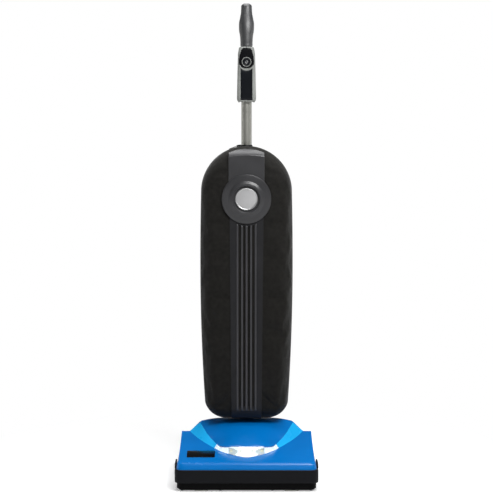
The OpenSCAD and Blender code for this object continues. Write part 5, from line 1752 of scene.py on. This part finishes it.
def build_brush(sizes):
    """Brush core with its belt groove and two helical ribs, and tufts of nylon filaments."""
    lo, hi = box_mm("brush_core")
    y, z = (lo.y + hi.y) / 2, (lo.z + hi.z) / 2
    r, half = (hi.z - lo.z) / 2, hi.x
    b0, b1 = BELT_LO.x, BELT_HI.x
    bore, root = 4.3, r - 1.6
    profile = [(bore, -half), (r - 1.2, -half), (r, -half + 1.2), (r, b0 - 0.6), (r - 0.6, b0), (r - 2, b0 + 0.3)]
    profile += [(r - 2, b1 - 0.3), (r - 0.6, b1), (r, b1 + 0.6), (r, half - 1.2), (r - 1.2, half), (bore, half)]
    profile.append((bore, -half))
    parts = [lathe("brush_barrel", profile, (0, y, z), "x", 64)]
    reach = bristle_radius() - r + 1.6
    random = np.random.default_rng(7)
    tufts = []
    for start in (40, 220):
        for x0, x1 in ((8 - half, b0 - 5), (b1 + 5, half - 8)):
            path, aims = [], []
            for k in range(81):
                x = x0 + (x1 - x0) * k / 80
                a = -math.radians(start + 300 * (x + half - 8) / (2 * half - 16))
                aim = (0.0, math.sin(a), math.cos(a))
                path.append((x, y + root * aim[1], z + root * aim[2]))
                aims.append(aim)
            crest = [(p[0], y + (r - 0.9) * a[1], z + (r - 0.9) * a[2]) for p, a in zip(path, aims)]
            parts.append(sweep_tube("brush_rib", crest, 2.4, 8))
            strands = []
            for k in range(sizes.tufts):
                u, v = random.normal(0, 0.55), random.normal(0, 0.55)
                lean = random.normal(0, 0.55), random.normal(0, 0.45)
                tip = reach * random.uniform(0.93, 1.0)
                middle = (u + lean[0] * 0.5, v + lean[1] * 0.5, tip * 0.5)
                strands.append([(u, v, 0), middle, (u + lean[0], v + lean[1], tip)])
            unit = tuft_mesh(strands)
            tufts.append(
                repeat("tufts", path, aims, unit, TUFT_SPACING, "bristle", closed=False, smallest=0.97, seed=3)
            )
    barrel = join("brush_roll_core", parts)
    smooth(barrel, 35)
    piece(barrel, "brush_roll", "brush_plastic", "brush_core")
    hair = join("brush_roll_bristles", tufts)
    piece(hair, "brush_roll", "bristle", "brush_bristles")
    softened("brush_axle", "brush_spindle", "brush_roll", "plated_steel", 0.5)


def bristle_radius():
    """Radius over the tips of the tufts."""
    lo, hi = box_mm("brush_bristles")
    return (hi.z - lo.z) / 2


def tuft_mesh(strands, radius=0.14):
    """A tuft: three-sided filaments that thin out to their tips."""
    points, faces = [], []
    for strand in strands:
        start = len(points)
        for j, p in enumerate(strand):
            r = radius * STRAND_THICKNESS[j]
            for k in range(3):
                a = 2 * math.pi * k / 3
                points.append((p[0] + r * math.cos(a), p[1] + r * math.sin(a), p[2]))
        faces += grid_faces(3, 3, closed=True, start=start)
        faces.append((start + 6, start + 7, start + 8))
    return new_object("tuft", new_mesh("tuft", points, faces))


# ------------------------------------------------------------------ stage


# Name, place, target, width and height, and power of each lamp
LAMPS = (
    ("light_key", (0.5, -0.95, 1.75), (0, 0.0, 0.6), (0.8, 0.5), 25),
    ("light_over", (0.0, 0.25, 2.7), (0, 0.0, 0.1), (1.6, 1.5), 46),
    ("light_left", (-1.8, 0.1, 1.15), (0, 0.05, 0.7), (0.4, 1.4), 4),
    ("light_right", (1.8, 0.1, 1.15), (0, 0.05, 0.7), (0.4, 1.4), 5),
    ("light_front", (0.2, -2.6, 1.6), (0, 0, 0.85), (0.5, 0.6), 1.2),
)


def soft_box(name, place, target, size, power):
    """A rectangular lamp that points to its target."""
    light = bpy.data.lights.new(name, "AREA")
    light.shape = "RECTANGLE"
    light.size, light.size_y = size
    light.energy = power
    obj = bpy.data.objects.new(name, light)
    bpy.context.scene.collection.objects.link(obj)
    obj.location = place
    obj.rotation_euler = (Vector(target) - Vector(place)).to_track_quat("-Z", "Y").to_euler()


def build_stage(stage):
    """Camera, plain pale floor and soft studio light."""
    scene = bpy.context.scene
    camera = bpy.data.cameras.new("camera")
    camera.sensor_fit = "VERTICAL"
    camera.sensor_height = 36
    camera.lens = FOCAL_PX * camera.sensor_height / PICTURE_H
    camera.clip_end = 50
    eye = bpy.data.objects.new("camera", camera)
    scene.collection.objects.link(eye)
    eye.location = (0, -stage.distance, stage.height)
    eye.rotation_euler = (math.pi / 2 - stage.tilt, 0, 0)
    scene.camera = eye
    scene.view_settings.view_transform = "Standard"
    studio_world(scene)
    studio_floor()
    for name, place, target, size, power in LAMPS:
        soft_box(name, place, target, size, power * stage.light)


def seen_rays(tree):
    """Outputs of the light path, and 1 for the rays that the camera sends, also through glass."""
    path = add(tree, "ShaderNodeLightPath").outputs
    return path, calculate(tree, "MAXIMUM", path["Is Camera Ray"], path["Is Transmission Ray"])


def studio_world(scene):
    """White for the camera and through glass. Glossy faces mirror a low white backdrop behind the object."""
    world = bpy.data.worlds.new("studio")
    world.use_nodes = True
    scene.world = world
    tree = world.node_tree
    tree.nodes.clear()
    path, seen = seen_rays(tree)
    way = add(tree, "ShaderNodeSeparateXYZ", {"Vector": add(tree, "ShaderNodeTexCoord").outputs["Generated"]})
    back = remap(tree, way.outputs["Y"], -0.25, 0.55, 0.05, 1.0, interpolation_type="SMOOTHSTEP")
    low = remap(tree, way.outputs["Z"], 0.08, 0.3, 1.0, 0.05, interpolation_type="SMOOTHSTEP")
    back = calculate(tree, "MULTIPLY", back, low)
    white, mirrored, fill = (
        add(tree, "ShaderNodeBackground", {"Color": grey(1.0), "Strength": strength}).outputs[0]
        for strength in (1.0, back, 0.12)
    )
    lit = add(tree, "ShaderNodeMixShader", {0: path["Is Glossy Ray"], 1: fill, 2: mirrored}).outputs[0]
    whole = add(tree, "ShaderNodeMixShader", {0: seen, 1: lit, 2: white}).outputs[0]
    add(tree, "ShaderNodeOutputWorld", {"Surface": whole})


def studio_floor():
    """Pale floor that takes the shadow and turns to plain white away from the object."""
    edge = 9000
    corners = [(-edge, -edge, 0), (edge, -edge, 0), (edge, edge, 0), (-edge, edge, 0)]
    mesh = new_mesh("floor", corners, [(0, 1, 2, 3)])
    made, tree, shader = surface("floor_white", grey(0.8), 0.7, Specular_IOR_Level=0.1)
    path, seen = seen_rays(tree)
    seen = calculate(tree, "MAXIMUM", seen, path["Is Glossy Ray"])
    place = add(tree, "ShaderNodeTexCoord").outputs["Object"]
    away = add(tree, "ShaderNodeVectorMath", {0: place}, operation="LENGTH").outputs["Value"]
    far = remap(tree, away, 0.35, 0.8, interpolation_type="SMOOTHSTEP")
    far = calculate(tree, "MULTIPLY", far, seen)
    white = add(tree, "ShaderNodeEmission", {"Color": grey(1.0), "Strength": 1.0}).outputs[0]
    share = calculate(tree, "MULTIPLY", path["Is Camera Ray"], 0.35)
    lift = add(tree, "ShaderNodeEmission", {"Color": grey(1.0), "Strength": share}).outputs[0]
    near = add(tree, "ShaderNodeAddShader", {0: shader.outputs[0], 1: lift}).outputs[0]
    whole = add(tree, "ShaderNodeMixShader", {0: far, 1: near, 2: white}).outputs[0]
    tree.links.new(whole, tree.nodes["Material Output"].inputs["Surface"])
    mesh.materials.append(made)
    new_object("floor", mesh)


# ------------------------------------------------------------------ operators and panel


class VACUUM_OT_stage(bpy.types.Operator):
    """Make the finishes, the camera, the floor and the lights"""

    bl_idname = "vacuum.stage"
    bl_label = "Finishes and stage"

    def execute(self, context):
        make_materials(context.scene.vacuum_finish)
        build_stage(context.scene.vacuum_stage)
        return {"FINISHED"}


class VACUUM_OT_hood(bpy.types.Operator):
    """Build the hood of the floor head, with the painted light of its band"""

    bl_idname = "vacuum.hood"
    bl_label = "Hood"

    def execute(self, context):
        build_hood()
        return {"FINISHED"}


class VACUUM_OT_headlight(bpy.types.Operator):
    """Build the clear lens with its reflector, its board and its diodes"""

    bl_idname = "vacuum.headlight"
    bl_label = "Headlight"

    def execute(self, context):
        build_lens()
        return {"FINISHED"}


class VACUUM_OT_bumper(bpy.types.Operator):
    """Build the rubber bumper, the side lobes and the blank plate"""

    bl_idname = "vacuum.bumper"
    bl_label = "Bumper"

    def execute(self, context):
        build_bumper()
        return {"FINISHED"}


class VACUUM_OT_lower(bpy.types.Operator):
    """Build the lower casing, the steel sole and its fixings"""

    bl_idname = "vacuum.lower"
    bl_label = "Lower casing"

    def execute(self, context):
        build_lower()
        return {"FINISHED"}


class VACUUM_OT_drive(bpy.types.Operator):
    """Build the motor, the fan, the belt and the ducts"""

    bl_idname = "vacuum.drive"
    bl_label = "Motor and fan"

    def execute(self, context):
        build_drive()
        return {"FINISHED"}


class VACUUM_OT_brush(bpy.types.Operator):
    """Build the brush roll with its nylon tufts"""

    bl_idname = "vacuum.brush"
    bl_label = "Brush roll"

    def execute(self, context):
        build_brush(context.scene.vacuum_sizes)
        return {"FINISHED"}


class VACUUM_OT_wheels(bpy.types.Operator):
    """Build both wheels with their grooved tyres"""

    bl_idname = "vacuum.wheels"
    bl_label = "Wheels"

    def execute(self, context):
        for side in ("left", "right"):
            build_wheel(side)
        return {"FINISHED"}


class VACUUM_OT_pedal(bpy.types.Operator):
    """Build the release pedal and its spring"""

    bl_idname = "vacuum.pedal"
    bl_label = "Release pedal"

    def execute(self, context):
        build_pedal()
        return {"FINISHED"}


class VACUUM_OT_neck(bpy.types.Operator):
    """Build the neck, the dust pipe, the bag port and the small parts of the upright"""

    bl_idname = "vacuum.neck"
    bl_label = "Neck and ducts"

    def execute(self, context):
        build_neck()
        return {"FINISHED"}


class VACUUM_OT_shell(bpy.types.Operator):
    """Build the moulded rear casing"""

    bl_idname = "vacuum.shell"
    bl_label = "Rear casing"

    def execute(self, context):
        build_rear_shell()
        return {"FINISHED"}


class VACUUM_OT_dust_bag(bpy.types.Operator):
    """Build the paper dust bag and its card collar"""

    bl_idname = "vacuum.dust_bag"
    bl_label = "Dust bag"

    def execute(self, context):
        build_dust_bag()
        return {"FINISHED"}


class VACUUM_OT_battery(bpy.types.Operator):
    """Build the battery pack and its latch"""

    bl_idname = "vacuum.battery"
    bl_label = "Battery"

    def execute(self, context):
        build_battery()
        return {"FINISHED"}


class VACUUM_OT_cover(bpy.types.Operator):
    """Build the padded fabric cover with its piping and its stitches"""

    bl_idname = "vacuum.cover"
    bl_label = "Fabric cover"

    def execute(self, context):
        build_cover(context.scene.vacuum_sizes)
        return {"FINISHED"}


class VACUUM_OT_spine(bpy.types.Operator):
    """Build the ribbed spine, its boss and the blank medallion"""

    bl_idname = "vacuum.spine"
    bl_label = "Spine"

    def execute(self, context):
        build_spine(context.scene.vacuum_sizes)
        return {"FINISHED"}


class VACUUM_OT_zip(bpy.types.Operator):
    """Build the zip round the cover"""

    bl_idname = "vacuum.zip"
    bl_label = "Zip"

    def execute(self, context):
        build_zip()
        return {"FINISHED"}


class VACUUM_OT_handle(bpy.types.Operator):
    """Build the handle housing, its switch, the tube and the grip"""

    bl_idname = "vacuum.handle"
    bl_label = "Handle"

    def execute(self, context):
        build_handle()
        build_grip()
        return {"FINISHED"}


OPERATORS = (
    VACUUM_OT_stage,
    VACUUM_OT_hood,
    VACUUM_OT_headlight,
    VACUUM_OT_bumper,
    VACUUM_OT_lower,
    VACUUM_OT_drive,
    VACUUM_OT_brush,
    VACUUM_OT_wheels,
    VACUUM_OT_pedal,
    VACUUM_OT_neck,
    VACUUM_OT_shell,
    VACUUM_OT_dust_bag,
    VACUUM_OT_battery,
    VACUUM_OT_cover,
    VACUUM_OT_spine,
    VACUUM_OT_zip,
    VACUUM_OT_handle,
)


class VACUUM_PT_parts(bpy.types.Panel):
    """Sizes, colours and pieces of the vacuum cleaner"""

    bl_idname = "VACUUM_PT_parts"
    bl_label = "Vacuum cleaner"
    bl_space_type = "VIEW_3D"
    bl_region_type = "UI"
    bl_category = "Vacuum"

    def draw(self, context):
        for group in (context.scene.vacuum_finish, context.scene.vacuum_sizes, context.scene.vacuum_stage):
            box = self.layout.box()
            for key in group.bl_rna.properties.keys():
                if key not in {"rna_type", "name"}:
                    box.prop(group, key)
        for kind in OPERATORS:
            self.layout.operator(kind.bl_idname)


GROUPS = {
    "vacuum_finish": VACUUM_PG_finish,
    "vacuum_sizes": VACUUM_PG_sizes,
    "vacuum_stage": VACUUM_PG_stage,
}


def register():
    """Registers the classes and gives the scene its settings."""
    for kind in (*GROUPS.values(), *OPERATORS, VACUUM_PT_parts):
        bpy.utils.register_class(kind)
    for key, kind in GROUPS.items():
        setattr(bpy.types.Scene, key, PointerProperty(type=kind))


def unregister():
    """Takes the settings and the classes away again."""
    for key in GROUPS:
        delattr(bpy.types.Scene, key)
    for kind in reversed((*GROUPS.values(), *OPERATORS, VACUUM_PT_parts)):
        bpy.utils.unregister_class(kind)


def main():
    """Builds every piece."""
    register()
    for kind in OPERATORS:
        group, name = kind.bl_idname.split(".")
        getattr(getattr(bpy.ops, group), name)()


if __name__ == "__main__":
    main()
